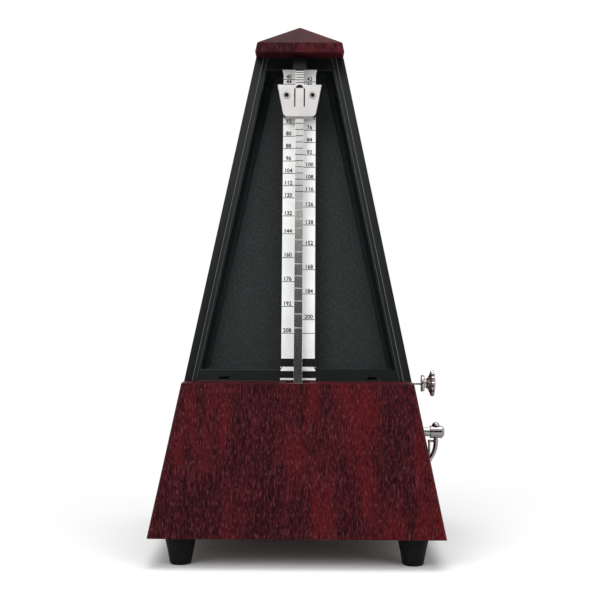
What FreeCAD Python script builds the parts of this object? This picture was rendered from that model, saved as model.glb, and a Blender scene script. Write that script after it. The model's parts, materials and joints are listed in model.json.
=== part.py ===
import FreeCAD, Part
import os
from math import asin, atan, atan2, cos, degrees, floor, hypot, pi, radians, sin, sqrt, tan

# A square-pyramid clockwork metronome: wooden case with the front cover lifted off, a black
# inner frame with the tempo scale, and a spring-driven verge escapement with a bell.
# Millimetres. X is right, Y is away from the viewer, Z is up. The origin is the centre of the
# footprint on the ground, on the pyramid's axis.

# ---- Driving dimensions: case ----
BASE_HALF = 58.1               # half width of the case at its lower edge
SIDE_TAPER = 0.2036            # inward lean of every side, mm per mm of height
FOOT_HEIGHT = 11.9             # ground to the lower edge of the case
LEDGE_HEIGHT = 71.2            # ground to the top of the ledge
CAP_HEIGHT = 206.1             # ground to the underside of the roof cap
CAP_BAND = 4.4                 # height of the upright band round the cap
ROOF_RISE = 9.5                # from the band to the tip of the roof
WALL = 3.5                     # thickness of the wooden sides, square to them
LEDGE_THICKNESS = 3.0
TOP_BOARD = 4.0                # board under the cap
FLOOR = 3.0                    # bottom plate
SEATING = 0.02                 # gap behind the frame's flange
SEAM = 0.3                     # gap where one panel is let into another
FRAME_SETBACK = 13.0           # front plane of the case to the front of the black frame

# ---- Driving dimensions: feet ----
FOOT_INSET = 12.2              # case edge to the middle of a foot
FOOT_TOP_R = 6.45
FOOT_TIP_R = 4.25
FOOT_RIM = 0.6                 # bevel round the tip of a foot
FOOT_SCREW_Z = 4.0             # ground to the underside of a foot screw's head
FOOT_SCREW_BITE = 6.0          # screw in the wooden corner block
BOSS = 11.0                    # side of the wooden corner blocks that take the foot screws
BOSS_HEIGHT = 14.0

# ---- Driving dimensions: screws ----
SCREW_R = 1.25
SCREW_HEAD_R = 2.3
SCREW_HEAD = 1.3
SCREW_SLOT = 0.5               # width and depth of the slot in a head
SCREW_BITE = 4.0               # thread in the piece that a machine screw holds
DRILL_DEPTH = 5.0              # tapped hole in a pillar or a block
CAP_SCREW_X = (-9.0, 9.0)
CAP_SCREW_Y = 7.0
CAP_SCREW_LENGTH = 9.0

# ---- Driving dimensions: inner frame and scale ----
FLANGE = 1.5                   # thickness of the frame's front flange
RIB_OUTER = 3.3                # case edge to the outside of the raised rib
RIB_INNER = 5.0
RIB_RISE = 0.8
OPENING_INSET = 5.7            # case edge to the mouth of the recess
PANEL_INSET = 8.8              # case edge to the edge of the recess floor
RECESS = 7.0                   # depth of the recess
RECESS_END_FALL = 1.55         # slope of the recess's upper and lower ends
TRAY_SKIN = 2.0                # thickness of the recess walls and floor
SILL_RISE = 4.6                # ledge to the top of the frame's lower rail
LINTEL_DROP = 5.4              # cap to the underside of the frame's upper rail
CATCH_X = 30.0                 # cover catches in the lower rail
CATCH_WIDTH = 4.0
CATCH_TALL = 0.8
CATCH_DEEP = 2.5
SCALE_WIDTH = 13.6
SCALE_SKIN = 0.6
SCALE_FOOT_WIDTH = 14.4
SCALE_FOOT_TALL = 5.0
SCALE_HEAD_WIDTH = 14.5
SCALE_HEAD_TALL = 2.2
SCALE_FOOT_SLANT = 0.8         # height over which the foot narrows to the strip
SPINE_OVERRUN = (2.0, 1.0)     # spine past the recess's lower and upper ends
SPINE_MARGIN = 0.5             # scale edge to the edge of the spine that carries it
REST_WIDTH = 5.7               # retaining tab at the tip of the pendulum
REST_LIP = 3.9
REST_SKIN = 0.8
REST_ROOM = 0.6                # room over the tip of the rod
REST_GAP = 0.5                 # room in front of the rod
REST_FOOT = 1.2                # height of the hook's foot on the rail

# ---- Driving dimensions: pendulum ----
ROD_DEPTH = 8.6                # front plane of the case to the middle of the rod
ROD_WIDTH = 3.4
ROD_THICK = 0.9
PIVOT_DROP = 5.2               # top of the ledge to the pendulum's axle
ROD_TIP_DROP = 2.9             # cap to the tip of the rod
SWING = 26.0                   # largest swing each way, degrees
SLOT_DEPTH = 6.4               # slot in the ledge, front to back
ROD_CHAMFER = 0.6
AXLE_R = 1.0
AXLE_HEAD_R = 1.7
AXLE_HEAD = 0.6
AXLE_END = 0.8                 # axle past the rear bracket
COLLAR_R = 2.2
COLLAR_LENGTH = 2.6
BOB_R = 12.5                   # counterweight inside the base
BOB_THICK = 8.6
BOB_CLEAR = 0.6                # bottom plate to the counterweight

# ---- Driving dimensions: tempo marks and sliding weight ----
TEMPO_SET = 48                 # where the weight stands at rest
TEMPO_GAIN = 2.63328e-7        # two-weight pendulum: gain, inertia and balance terms
TEMPO_INERTIA = 9880.48
TEMPO_BALANCE = 145.763
TEMPOS = ([*range(40, 60, 2)] + [*range(60, 72, 3)] + [*range(72, 120, 4)]
          + [*range(120, 144, 6)] + [*range(144, 209, 8)])
NOTCH = 0.25                   # depth of the nicks in the rod
NOTCH_RISE = 1.6               # nick above its mark
WEIGHT_TOP = 18.3
WEIGHT_BOTTOM = 13.1
WEIGHT_TALL = 13.7
WEIGHT_FRONT = 1.7             # metal in front of the rod
WEIGHT_BACK = 2.1              # metal behind the rod
WEIGHT_CORNER = 1.6
TONGUE_SLOT_X = 1.97
TONGUE_SLOT = 0.55
TONGUE_TOP = 1.5
TONGUE_BOTTOM = 9.6
MOUTH_R = 1.55                 # half-round mouth at the top of the weight, its flat side down
MOUTH_DROP = 1.45
EYELET_X = 5.35
EYELET_DROP = 4.6
EYELET_R = 1.5
EYELET_BORE = 0.9
EYELET_LIP = 0.2               # eyelet's rim past its shank
EYELET_RIM = 0.3
POCKET = 0.9                   # pocket behind the rod for the leaf spring
POCKET_INSET = 2.0             # pocket's ends from the ends of the weight
LEAF_INSET = 0.2
LEAF_SKIN = 0.3

# ---- Driving dimensions: movement ----
PLATE = 1.5                    # brass plates
PLATE_LEFT = -26.0             # inner face of each plate
PLATE_RIGHT = 23.0
PLATE_HALF_DEPTH = 31.0
PLATE_TOP = LEDGE_HEIGHT + 6.8
PLATE_SHOULDER = LEDGE_HEIGHT - 1.2
PLATE_REAR_CORNER = (24.0, PLATE_TOP)
PLATE_FRONT_EDGE = [(-19.0, PLATE_TOP), (-22.0, PLATE_SHOULDER), (-29.0, PLATE_SHOULDER - 4.0),
                    (-PLATE_HALF_DEPTH, PLATE_SHOULDER - 10.0)]
BELL_EAR_HALF = 5.0
BELL_EAR_STEP = 2.0
PILLAR_R = 2.4
PILLARS = [(-27.0, 22.0), (27.0, 22.0), (27.0, PLATE_SHOULDER - 6.0), (-18.0, PLATE_TOP - 5.0)]
BLOCK = 8.0                    # blocks that stand the movement on the bottom plate
BLOCK_HEIGHT = 7.0
BLOCK_Y = 18.0
BARREL_Y = 8.0                 # winding arbor
BARREL_Z = LEDGE_HEIGHT - 25.1
ESCAPE_Y = -9.0                # escape arbor crosses the pendulum's axle here
GREAT_MODULE = 0.6
GREAT_TEETH = 64
SECOND_PINION_TEETH = 8
SECOND_MODULE = 0.5
SECOND_TEETH = 48
ESCAPE_PINION_TEETH = 12
MESH_PLAY = 0.05               # extra centre distance
PINION_OVERHANG = 0.6          # pinion past each face of its wheel
ARBOR_END = 0.4                # arbor past the outside of a plate
GREAT_X = (18.5, 20.0)
DRUM_X = (5.5, 18.5)
DRUM_R = 14.0
DRUM_WALL = 1.0
SPRING_TURNS = 9
SPRING_STRIP = 0.35
SPRING_CLEAR = 0.15
SPRING_STEPS = 20              # chords in one turn of the spring
COVER = 0.8
SPRING_MARGIN = (1.4, 0.8)     # mainspring's edges from the ends of the drum
SECOND_X = (-20.5, -19.0)
ARBOR_R = 1.2
WHEEL_HUB_R = 2.6
WHEEL_HUB_RISE = 1.5
WHEEL_HOLES = 5
WHEEL_HOLE_R = 2.4
WHEEL_HOLE_REACH = 6.6
RUNNING = 0.05                 # radial clearance of a running fit
CROWN_TEETH = 15
CROWN_R = 8.0                  # middle of the escape wheel's rim
CROWN_RIM = 0.8
CROWN_TIP_X = -2.5
CROWN_TOOTH = 2.4
CROWN_CUP = 3.0
CROWN_WEB = 1.0
CROWN_TOOTH_WIDTH = (1.0, 0.3)  # across a crown tooth, at its foot and its tip
CROWN_TOOTH_ROOT = 0.4         # tooth's foot sunk in the rim
PALLET_LENGTH = 3.6
PALLET_REST = 58.0             # pallet's angle from the wheel at rest, degrees
PALLET_THICK = 0.5
PALLET_WIDTH = 1.4
PALLET_COLLAR_R = 1.9
COCK_X = -13.0
COCK_SKIN = 1.5
COCK_HALF = 3.0
COCK_CLEAR = 1.6               # escape wheel to the underside of the cock
BRACKET_SKIN = 1.6
BRACKET_EAR = 6.0
REAR_BRACKET_END = 4.0         # free end of the rear bracket
BRACKET_HALF = 3.6
FRONT_BRACKET_DEPTH = 16.2     # front plane to the front of the front bracket
REAR_BRACKET_GAP = 12.0        # escape arbor to the front of the rear bracket

# ---- Driving dimensions: winding key, click and bell ----
ARBOR_OUT_R = 2.0
KEY_NECK_X = BASE_HALF - 0.7
KEY_HEAD_X = KEY_NECK_X + 6.2
KEY_HEAD_R = 2.75
KEY_BEVEL = 1.0
BOW_PIN_X = KEY_NECK_X + 2.6
BOW_PIN_R = 0.8
BOW_WIRE_R = 1.0
BOW_LIMB_R = 0.5
BOW_LIMB_X = KEY_NECK_X - 0.2
BOW_DROP = 12.2                # arbor to the bottom of the bow
BOW_BULGE = 0.85               # outward bulge of the curved limb past its chord
BOW_KNUCKLE = 0.2              # knuckle at each end of the curved limb, past the wire
RIVET_R = 1.75
RIVET_RISE = 1.5
BUSH_WALL = 1.6
KEY_BUSH_ENDS = (1.2, 0.5)     # bush past the inside and outside of the wall
SELECTOR_BUSH_ENDS = (1.0, -0.3)
RATCHET_TEETH = 24
RATCHET_R = 7.0
RATCHET_DEPTH = 0.9
RATCHET_THICK = 1.8
RATCHET_GAP = 0.4              # right plate to the ratchet
CLICK_GAP = 0.12
CLICK_HUB_R = 2.4
CLICK_TAIL = 4.2
CLICK_TAIL_HALF = 0.9
CLICK_FROM_BARREL = (9.4, 6.6)
CLICK_LATCH_BEHIND = 45.0      # ratchet tooth that the click holds, degrees behind its pivot
CLICK_PLAY = 0.1
CLICK_FOOT = ((-4.4, 1.2), (12.0, 17.0))  # spring's foot from the click's pivot
CLICK_FOOT_SCREW = (-1.6, 14.5)
CLICK_LEAF = 0.4
CLICK_SPRING_WIDE = 1.6
CLICK_SPRING_GAP = 0.6         # room for the tail when the click is lifted
SELECTOR_Y = -2.0
SELECTOR_Z = LEDGE_HEIGHT - 3.1
SELECTOR_R = 0.725
SELECTOR_PITCH = 1.6
SELECTOR_INNER_END = 2.4
SELECTOR_GROOVES = 5
GROOVE_HALF = 0.25
GROOVE_DEEP = 0.15
SELECTOR_DISC_X = BASE_HALF - 5.6
KNOB_BORE = 0.5
KNOB_DISC_R = 3.6
KNOB_NECK_R = 1.95
KNOB_R = 4.7
KNOB_LOBES = 12
KNOB_LOBE_R = 0.75
CAM_R = 6.5
CAM_TEETH = (60, 40, 30, 20)
CAM_DEPTH = 0.5
CAM_THICK = 0.7
CAM_HUB_END = 1.2
CAM_PEAK = 0.35                # share of a tooth where it is highest
FINGER_X = 11.0
FINGER_THICK = 0.6
FINGER_GAP = 0.3
FINGER_HALF = 0.7
HAMMER_HALF = 2.6              # half length of the hammer's sleeve
HAMMER_HUB_R = 2.2
HAMMER_ARM_HALF = (0.9, 0.7, 0.6)  # foot, tip and half thickness of the arm
HAMMER_COLLAR = (0.1, 1.1)     # collars from the ends of the sleeve
HAMMER_COLLAR_R = 1.7
HAMMER_ROLL_R = 1.8
HAMMER_ROLL_X = (5.0, 17.0)
BELL_Y = 16.0
BELL_Z = LEDGE_HEIGHT + 16.8
BELL_R = 14.0
BELL_DEPTH = 8.0
BELL_SKIN = 1.0
BELL_APEX_X = 13.0
BELL_POST_R = 1.8
BELL_NUT_R = 2.2
BELL_NUT = (0.3, 2.0)          # inside of the bell to the two faces of its nut
BELL_STUD_END = 3.2
DETENT_SKIN = 1.0
DETENT_GAP = 0.1
DETENT_FOOT = (4.0, 8.0)       # foot from the free end of the leaf
DETENT_FOOT_HALF = 2.0
DETENT_LEAF = 0.4
DETENT_LEAF_HALF = 1.2

# ---- Heights that follow from the case ----
EAVE_HEIGHT = CAP_HEIGHT + CAP_BAND
HEIGHT = EAVE_HEIGHT + ROOF_RISE
SILL_HEIGHT = LEDGE_HEIGHT + SILL_RISE
LINTEL_HEIGHT = CAP_HEIGHT - LINTEL_DROP
PIVOT_HEIGHT = LEDGE_HEIGHT - PIVOT_DROP
ROD_TIP_HEIGHT = CAP_HEIGHT - ROD_TIP_DROP
BOB_DROP = PIVOT_HEIGHT - FOOT_HEIGHT - FLOOR - BOB_R - BOB_CLEAR

# ---- Derived frame of the sloping front ----
LEAN = atan(SIDE_TAPER)
FRONT_FOOT = BASE_HALF + SIDE_TAPER * FOOT_HEIGHT      # front plane carried down to the ground
FRONT = FreeCAD.Placement(FreeCAD.Vector(0, -FRONT_FOOT, 0),
                          FreeCAD.Rotation(FreeCAD.Vector(1, 0, 0), 90 - degrees(LEAN)))
OUT = FreeCAD.Vector(0, -cos(LEAN), sin(LEAN))         # square to the front, outwards
UP = FreeCAD.Vector(0, sin(LEAN), cos(LEAN))           # up the slope of the front
AXIS_X = FreeCAD.Vector(1, 0, 0)
AXIS_Z = FreeCAD.Vector(0, 0, 1)


def vec(x, y, z):
    return FreeCAD.Vector(x, y, z)


def half_width(z):
    """Half width of the outer pyramid at a height."""
    return BASE_HALF - SIDE_TAPER * (z - FOOT_HEIGHT)


def slope(z, depth):
    """Distance up the slope to a height, at a depth behind the front plane."""
    return (z + depth * sin(LEAN)) / cos(LEAN)


def on_front(x, up, depth):
    """Point at x, a distance up the slope, and a depth behind the front plane."""
    return FRONT.multVec(vec(x, up, -depth))


def box(x, y, z):
    """Box from (low, high) pairs."""
    return Part.makeBox(x[1] - x[0], y[1] - y[0], z[1] - z[0], vec(x[0], y[0], z[0]))


def bar_x(x, y, z, r):
    """Round bar along X."""
    return Part.makeCylinder(r, x[1] - x[0], vec(x[0], y, z), AXIS_X)


def pyramid(z0, z1, inset=0.0):
    """Square frustum following the case's sides, moved in by inset across the wall."""
    rings = []
    for z in (z0, z1):
        w = half_width(z) - inset
        corners = [vec(-w, -w, z), vec(w, -w, z), vec(w, w, z), vec(-w, w, z)]
        rings.append(Part.makePolygon(corners + corners[:1]))
    return Part.makeLoft(rings, True, True)


def outline_face(points):
    return Part.Face(Part.makePolygon(points + points[:1]))


def front_plate(points, near, far):
    """Plate parallel to the front, from (x, up) points, between two depths behind it."""
    flat = outline_face([vec(x, up, -far) for x, up in points])
    solid = flat.extrude(vec(0, 0, far - near))
    solid.Placement = FRONT
    return solid


def front_strip(half, low, high, near, far):
    """Upright rectangular strip on the front, between two slope distances."""
    return front_plate([(-half, low), (half, low), (half, high), (-half, high)], near, far)


def trapezoid(z0, z1, inset, depth):
    """Outline between two heights that keeps inset from the case's sides, as (x, up)."""
    low, high = half_width(z0) - inset, half_width(z1) - inset
    a, b = slope(z0, depth), slope(z1, depth)
    return [(-low, a), (low, a), (high, b), (-high, b)]


def front_loft(near_points, near, far_points, far):
    """Solid between two outlines parallel to the front."""
    rings = []
    for points, depth in ((far_points, far), (near_points, near)):
        corners = [on_front(x, up, depth) for x, up in points]
        rings.append(Part.makePolygon(corners + corners[:1]))
    return Part.makeLoft(rings, True, True)


def front_bar(x, up, near, far, r):
    """Round bar square to the front, between two depths."""
    return Part.makeCylinder(r, far - near, on_front(x, up, far), OUT)


def yz_plate(points, x):
    """Plate square to X from (y, z) points."""
    return outline_face([vec(x[0], y, z) for y, z in points]).extrude(vec(x[1] - x[0], 0, 0))


def polar(y, z, r, angle):
    return (y + r * cos(angle), z + r * sin(angle))


def toothed(centre, x, rings, teeth, start):
    """Toothed plate along X. rings is one tooth's (radius, share of a pitch) outline."""
    pitch = 2 * pi / teeth
    points = [polar(*centre, r, start + (k + share) * pitch) for k in range(teeth) for r, share in rings]
    return yz_plate(points, x)


def gear(centre, x, module, teeth, start):
    """Spur gear with slim straight-sided teeth, a tooth pointing along start."""
    r = module * teeth / 2
    sides = [(r - 1.1 * module, -0.23), (r, -0.18), (r + 0.7 * module, -0.09)]
    return toothed(centre, x, sides + [(a, -s) for a, s in reversed(sides)], teeth, start)


def screw(base, along, length):
    """Slotted screw: base is under its head, along is the way it enters."""
    solid = Part.makeCylinder(SCREW_HEAD_R, SCREW_HEAD, base, along * -1)
    solid = solid.fuse(Part.makeCylinder(SCREW_R, length, base, along))
    slot = Part.makeBox(3 * SCREW_HEAD_R, SCREW_SLOT, 2 * SCREW_SLOT,
                        vec(-1.5 * SCREW_HEAD_R, -SCREW_SLOT / 2, 0))
    spin = FreeCAD.Rotation(AXIS_Z, along * -1)
    slot.Placement = FreeCAD.Placement(base - along * (SCREW_HEAD - SCREW_SLOT), spin)
    return solid.cut(slot)


def group(solids):
    return Part.makeCompound(list(solids))


# ---- Places shared by several pieces ----
PIVOT_UP = slope(PIVOT_HEIGHT, ROD_DEPTH)
PIVOT = on_front(0, PIVOT_UP, ROD_DEPTH)
ESCAPE_DEPTH = ROD_DEPTH + (ESCAPE_Y - PIVOT.y) / cos(LEAN)
ESCAPE = on_front(0, PIVOT_UP, ESCAPE_DEPTH)
BARREL = (BARREL_Y, BARREL_Z)
FIRST_REACH = GREAT_MODULE * (GREAT_TEETH + SECOND_PINION_TEETH) / 2 + MESH_PLAY
SECOND_REACH = SECOND_MODULE * (SECOND_TEETH + ESCAPE_PINION_TEETH) / 2 + MESH_PLAY


def third_corner(a, b, from_a, from_b):
    """Point at two distances from a and b, on the front side of the line between them."""
    span = hypot(b[0] - a[0], b[1] - a[1])
    along = (from_a ** 2 - from_b ** 2 + span ** 2) / (2 * span)
    off = sqrt(from_a ** 2 - along ** 2)
    uy, uz = (b[0] - a[0]) / span, (b[1] - a[1]) / span
    return (a[0] + along * uy - off * uz, a[1] + along * uz + off * uy)


SECOND = third_corner(BARREL, (ESCAPE.y, ESCAPE.z), FIRST_REACH, SECOND_REACH)
SWING_OPENING = ROD_WIDTH / 2 + tan(radians(SWING)) * (slope(LEDGE_HEIGHT, ROD_DEPTH) - PIVOT_UP)
BLOCKS = [(x, y) for x in (PLATE_LEFT + BLOCK / 2, PLATE_RIGHT - BLOCK / 2) for y in (-BLOCK_Y, BLOCK_Y)]
FEET = {"front_left": (-1, -1), "front_right": (1, -1), "rear_left": (-1, 1), "rear_right": (1, 1)}
FOOT_AT = BASE_HALF - FOOT_INSET
REAR_BRACKET_DEPTH = ESCAPE_DEPTH + REAR_BRACKET_GAP
WEIGHT_NEAR = ROD_DEPTH - ROD_THICK / 2 - RUNNING - WEIGHT_FRONT
WEIGHT_FAR = ROD_DEPTH + ROD_THICK / 2 + RUNNING + WEIGHT_BACK
TO_SECOND = atan2(SECOND[1] - BARREL_Z, SECOND[0] - BARREL_Y)
TO_ESCAPE = atan2(ESCAPE.z - SECOND[1], ESCAPE.y - SECOND[0])
LEFT_FACE, RIGHT_FACE = PLATE_LEFT - PLATE, PLATE_RIGHT + PLATE
RATCHET_X = (RIGHT_FACE + RATCHET_GAP, RIGHT_FACE + RATCHET_GAP + RATCHET_THICK)
CLICK_PIVOT = (BARREL_Y + CLICK_FROM_BARREL[0], BARREL_Z + CLICK_FROM_BARREL[1])
CLICK_FOOT_HOLE = (CLICK_PIVOT[0] + CLICK_FOOT_SCREW[0], CLICK_PIVOT[1] + CLICK_FOOT_SCREW[1])
HAMMER_X = (FINGER_X - HAMMER_HALF, FINGER_X + HAMMER_HALF)
HAMMER_HEAD = (BELL_Y - BELL_R - FINGER_GAP - HAMMER_ROLL_R, BELL_Z)


def wall_inset():
    return WALL / cos(LEAN)


def mark_up(tempo):
    """Distance up the slope of a tempo's mark: the balance of a pendulum with two weights."""
    a = TEMPO_GAIN * tempo ** 2
    reach = (-1 + sqrt(1 - 4 * a * (a * TEMPO_INERTIA - TEMPO_BALANCE))) / (2 * a)
    return PIVOT_UP + reach


WEIGHT_UP = mark_up(TEMPO_SET)                          # top edge of the sliding weight


# ---- Case ----
def case_body():
    outer = pyramid(FOOT_HEIGHT, CAP_HEIGHT)
    hollow = pyramid(FOOT_HEIGHT, LEDGE_HEIGHT - LEDGE_THICKNESS, wall_inset())
    upper = pyramid(LEDGE_HEIGHT - LEDGE_THICKNESS, CAP_HEIGHT - TOP_BOARD, wall_inset())
    front_seat = FRAME_SETBACK + FLANGE + SEATING
    behind_ledge = slope(LEDGE_HEIGHT, front_seat)
    ledge_back = on_front(0, behind_ledge, front_seat).y
    keep = box((-2 * BASE_HALF, 2 * BASE_HALF), (ledge_back, 2 * BASE_HALF), (0, HEIGHT))
    body = outer.cut(hollow).cut(upper.common(keep))
    reach = 2 * HEIGHT
    opening = front_strip(2 * BASE_HALF, 0, reach, -FRONT_FOOT, front_seat)
    above = box((-2 * BASE_HALF, 2 * BASE_HALF), (-2 * BASE_HALF, 2 * BASE_HALF), (LEDGE_HEIGHT, reach))
    body = body.cut(opening.common(above))
    body = body.cut(front_strip(SWING_OPENING + SEAM, 0, slope(LEDGE_HEIGHT, 0) + WALL,
                                ROD_DEPTH - SLOT_DEPTH / 2, ROD_DEPTH + SLOT_DEPTH / 2)
                    .common(box((-BASE_HALF, BASE_HALF), (-BASE_HALF, 0),
                                (LEDGE_HEIGHT - 2 * LEDGE_THICKNESS, LEDGE_HEIGHT + WALL))))
    inner = pyramid(FOOT_HEIGHT, LEDGE_HEIGHT, wall_inset())
    for sx, sy in FEET.values():
        x, y = sx * FOOT_AT, sy * FOOT_AT
        low = FOOT_HEIGHT + FLOOR
        high = low + BOSS_HEIGHT
        boss = box((x - BOSS / 2, x + BOSS / 2), (y - BOSS / 2, y + BOSS / 2), (low, high))
        reach_out = box(tuple(sorted((x, 2 * x))), tuple(sorted((y, 2 * y))), (low, high))
        body = body.fuse(boss.fuse(reach_out).common(inner))
    for sx, sy in FEET.values():
        base = vec(sx * FOOT_AT, sy * FOOT_AT, FOOT_HEIGHT)
        body = body.cut(Part.makeCylinder(SCREW_R, FLOOR + FOOT_SCREW_BITE, base, AXIS_Z))
    body = body.cut(bar_x((0, 2 * BASE_HALF), BARREL_Y, BARREL_Z, ARBOR_OUT_R + BUSH_WALL))
    body = body.cut(bar_x((0, 2 * BASE_HALF), SELECTOR_Y, SELECTOR_Z, SELECTOR_R + BUSH_WALL))
    for x in CAP_SCREW_X:
        low = vec(x, CAP_SCREW_Y, CAP_HEIGHT - TOP_BOARD)
        body = body.cut(Part.makeCylinder(SCREW_R, TOP_BOARD, low, AXIS_Z))
    return body.removeSplitter()


def cap():
    eave = pyramid(CAP_HEIGHT, EAVE_HEIGHT)
    w = half_width(EAVE_HEIGHT)
    corners = [vec(sx * w, sy * w, EAVE_HEIGHT) for sx, sy in ((-1, -1), (1, -1), (1, 1), (-1, 1))]
    tip = vec(0, 0, HEIGHT)
    faces = [outline_face([corners[k], corners[(k + 1) % 4], tip]) for k in range(4)]
    faces.append(outline_face(corners))
    roof = Part.makeSolid(Part.makeShell(faces))
    if roof.Volume < 0:
        roof.reverse()
    solid = eave.fuse(roof).removeSplitter()
    for x in CAP_SCREW_X:
        depth = CAP_SCREW_LENGTH - TOP_BOARD
        solid = solid.cut(Part.makeCylinder(SCREW_R, depth, vec(x, CAP_SCREW_Y, CAP_HEIGHT), AXIS_Z))
    return solid


def cap_screws():
    low = CAP_HEIGHT - TOP_BOARD
    return group(screw(vec(x, CAP_SCREW_Y, low), AXIS_Z, CAP_SCREW_LENGTH) for x in CAP_SCREW_X)


def inner_frame():
    """Black insert: flange over the case's front edges, raised rib, recess and scale spine."""
    front, back = FRAME_SETBACK, FRAME_SETBACK + FLANGE
    floor = front + RECESS
    low, high = LEDGE_HEIGHT, CAP_HEIGHT
    flange = front_plate(trapezoid(low, high, 0, front), front, back)
    deep = floor + TRAY_SKIN
    tray = front_plate(trapezoid(low, high - TOP_BOARD, wall_inset() + SEAM, back), back, deep)
    rib = front_plate(trapezoid(low, high, RIB_OUTER, front), front - RIB_RISE, front)
    past = RIB_OUTER + RIB_INNER
    inside = trapezoid(low - past, high + past, RIB_INNER, front)
    rib = rib.cut(front_plate(inside, front - 2 * RIB_RISE, front + RIB_RISE))
    frame = flange.fuse(tray).fuse(rib)
    mouth = trapezoid(SILL_HEIGHT, LINTEL_HEIGHT, OPENING_INSET, front)
    foot = trapezoid(SILL_HEIGHT, LINTEL_HEIGHT, PANEL_INSET, front)
    foot = [(x, up + (RECESS_END_FALL if k < 2 else -RECESS_END_FALL)) for k, (x, up) in enumerate(foot)]
    recess = front_loft(mouth, front, foot, floor)
    lead = front_plate(mouth, front - 2 * RIB_RISE, front)
    frame = frame.cut(recess.fuse(lead))
    spine = front_strip(SCALE_WIDTH / 2 - SPINE_MARGIN, slope(SILL_HEIGHT, front) - SPINE_OVERRUN[0],
                        slope(LINTEL_HEIGHT, front) + SPINE_OVERRUN[1], front, floor + TRAY_SKIN / 2)
    frame = frame.fuse(spine)
    keep = box((-2 * BASE_HALF, 2 * BASE_HALF), (-2 * BASE_HALF, 2 * BASE_HALF), (low, high))
    frame = frame.common(keep)
    low_up = slope(LEDGE_HEIGHT + CATCH_TALL, front)
    for x in (-CATCH_X, CATCH_X):
        left, right = x - CATCH_WIDTH / 2, x + CATCH_WIDTH / 2
        corners = [(left, low_up), (right, low_up), (right, low_up + CATCH_TALL), (left, low_up + CATCH_TALL)]
        frame = frame.cut(front_plate(corners, front - RIB_RISE, front + CATCH_DEEP))
    return frame.removeSplitter()


def scale_plate():
    """Thin metal strip with a flared head and a wider foot, on the frame's spine."""
    front = FRAME_SETBACK - SCALE_SKIN
    low, high = slope(LEDGE_HEIGHT + SEAM, FRAME_SETBACK), slope(LINTEL_HEIGHT, FRAME_SETBACK)
    half, foot, head = SCALE_WIDTH / 2, SCALE_FOOT_WIDTH / 2, SCALE_HEAD_WIDTH / 2
    right = [(foot, low), (foot, low + SCALE_FOOT_TALL), (half, low + SCALE_FOOT_TALL + SCALE_FOOT_SLANT),
             (half, high - SCALE_HEAD_TALL), (head, high)]
    return front_plate(right + [(-x, up) for x, up in reversed(right)], front, FRAME_SETBACK)


def rod_rest():
    """Hook on the upper rail that holds the tip of the pendulum."""
    tip = slope(ROD_TIP_HEIGHT, ROD_DEPTH)
    low = tip + REST_ROOM - REST_LIP
    high = tip + REST_ROOM + REST_SKIN
    near = ROD_DEPTH - ROD_THICK / 2 - REST_GAP - REST_SKIN
    lip = front_strip(REST_WIDTH / 2, low, high, near, near + REST_SKIN)
    arm = front_strip(REST_WIDTH / 2, high - REST_SKIN, high, near, FRAME_SETBACK)
    foot = front_strip(REST_WIDTH / 2, high - REST_SKIN, high + REST_FOOT,
                       FRAME_SETBACK - REST_SKIN, FRAME_SETBACK)
    return lip.fuse(arm).fuse(foot).removeSplitter()


def bottom_plate():
    w = half_width(FOOT_HEIGHT + FLOOR) - wall_inset() - SEAM
    plate = box((-w, w), (-w, w), (FOOT_HEIGHT, FOOT_HEIGHT + FLOOR))
    for sx, sy in FEET.values():
        hole = Part.makeCylinder(SCREW_R, FLOOR, vec(sx * FOOT_AT, sy * FOOT_AT, FOOT_HEIGHT), AXIS_Z)
        plate = plate.cut(hole)
    for x, y in BLOCKS:
        base = vec(x, y, FOOT_HEIGHT)
        plate = plate.cut(Part.makeCylinder(SCREW_R, FLOOR, base, AXIS_Z))
        plate = plate.cut(Part.makeCylinder(SCREW_HEAD_R + SEAM, SCREW_HEAD, base, AXIS_Z))
    return plate


def foot(name):
    """Rubber foot with a well for its screw."""
    sx, sy = FEET[name]
    x, y = sx * FOOT_AT, sy * FOOT_AT
    cone = Part.makeCone(FOOT_TIP_R, FOOT_TOP_R, FOOT_HEIGHT - FOOT_RIM, vec(x, y, FOOT_RIM), AXIS_Z)
    edge = Part.makeCone(FOOT_TIP_R - FOOT_RIM, FOOT_TIP_R, FOOT_RIM, vec(x, y, 0), AXIS_Z)
    body = cone.fuse(edge).removeSplitter()
    well = Part.makeCylinder(SCREW_HEAD_R + SEAM, FOOT_SCREW_Z, vec(x, y, 0), AXIS_Z)
    hole = Part.makeCylinder(SCREW_R, FOOT_HEIGHT, vec(x, y, 0), AXIS_Z)
    return body.cut(well).cut(hole)


def foot_screws():
    length = FOOT_HEIGHT - FOOT_SCREW_Z + FLOOR + FOOT_SCREW_BITE
    return group(screw(vec(sx * FOOT_AT, sy * FOOT_AT, FOOT_SCREW_Z), AXIS_Z, length)
                 for sx, sy in FEET.values())


# ---- Movement frame ----
def plate_outline(ear):
    """Side plate in (y, z), with an ear for the bell when asked."""
    low = FOOT_HEIGHT + FLOOR
    top = [(PLATE_HALF_DEPTH, PLATE_SHOULDER), PLATE_REAR_CORNER]
    if ear:
        bell_low, bell_high = BELL_Y - BELL_EAR_HALF, BELL_Y + BELL_EAR_HALF
        top += [(bell_high, PLATE_TOP + BELL_EAR_STEP), (bell_high, BELL_Z + BELL_EAR_HALF),
                (bell_low, BELL_Z + BELL_EAR_HALF), (bell_low, PLATE_TOP)]
    return [(-PLATE_HALF_DEPTH, low), (PLATE_HALF_DEPTH, low)] + top + PLATE_FRONT_EDGE


def side_plate(x, ear, bores):
    plate = yz_plate(plate_outline(ear), x)
    for (y, z), r in bores + [(place, SCREW_R) for place in PILLARS]:
        plate = plate.cut(bar_x(x, y, z, r))
    return plate


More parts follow.
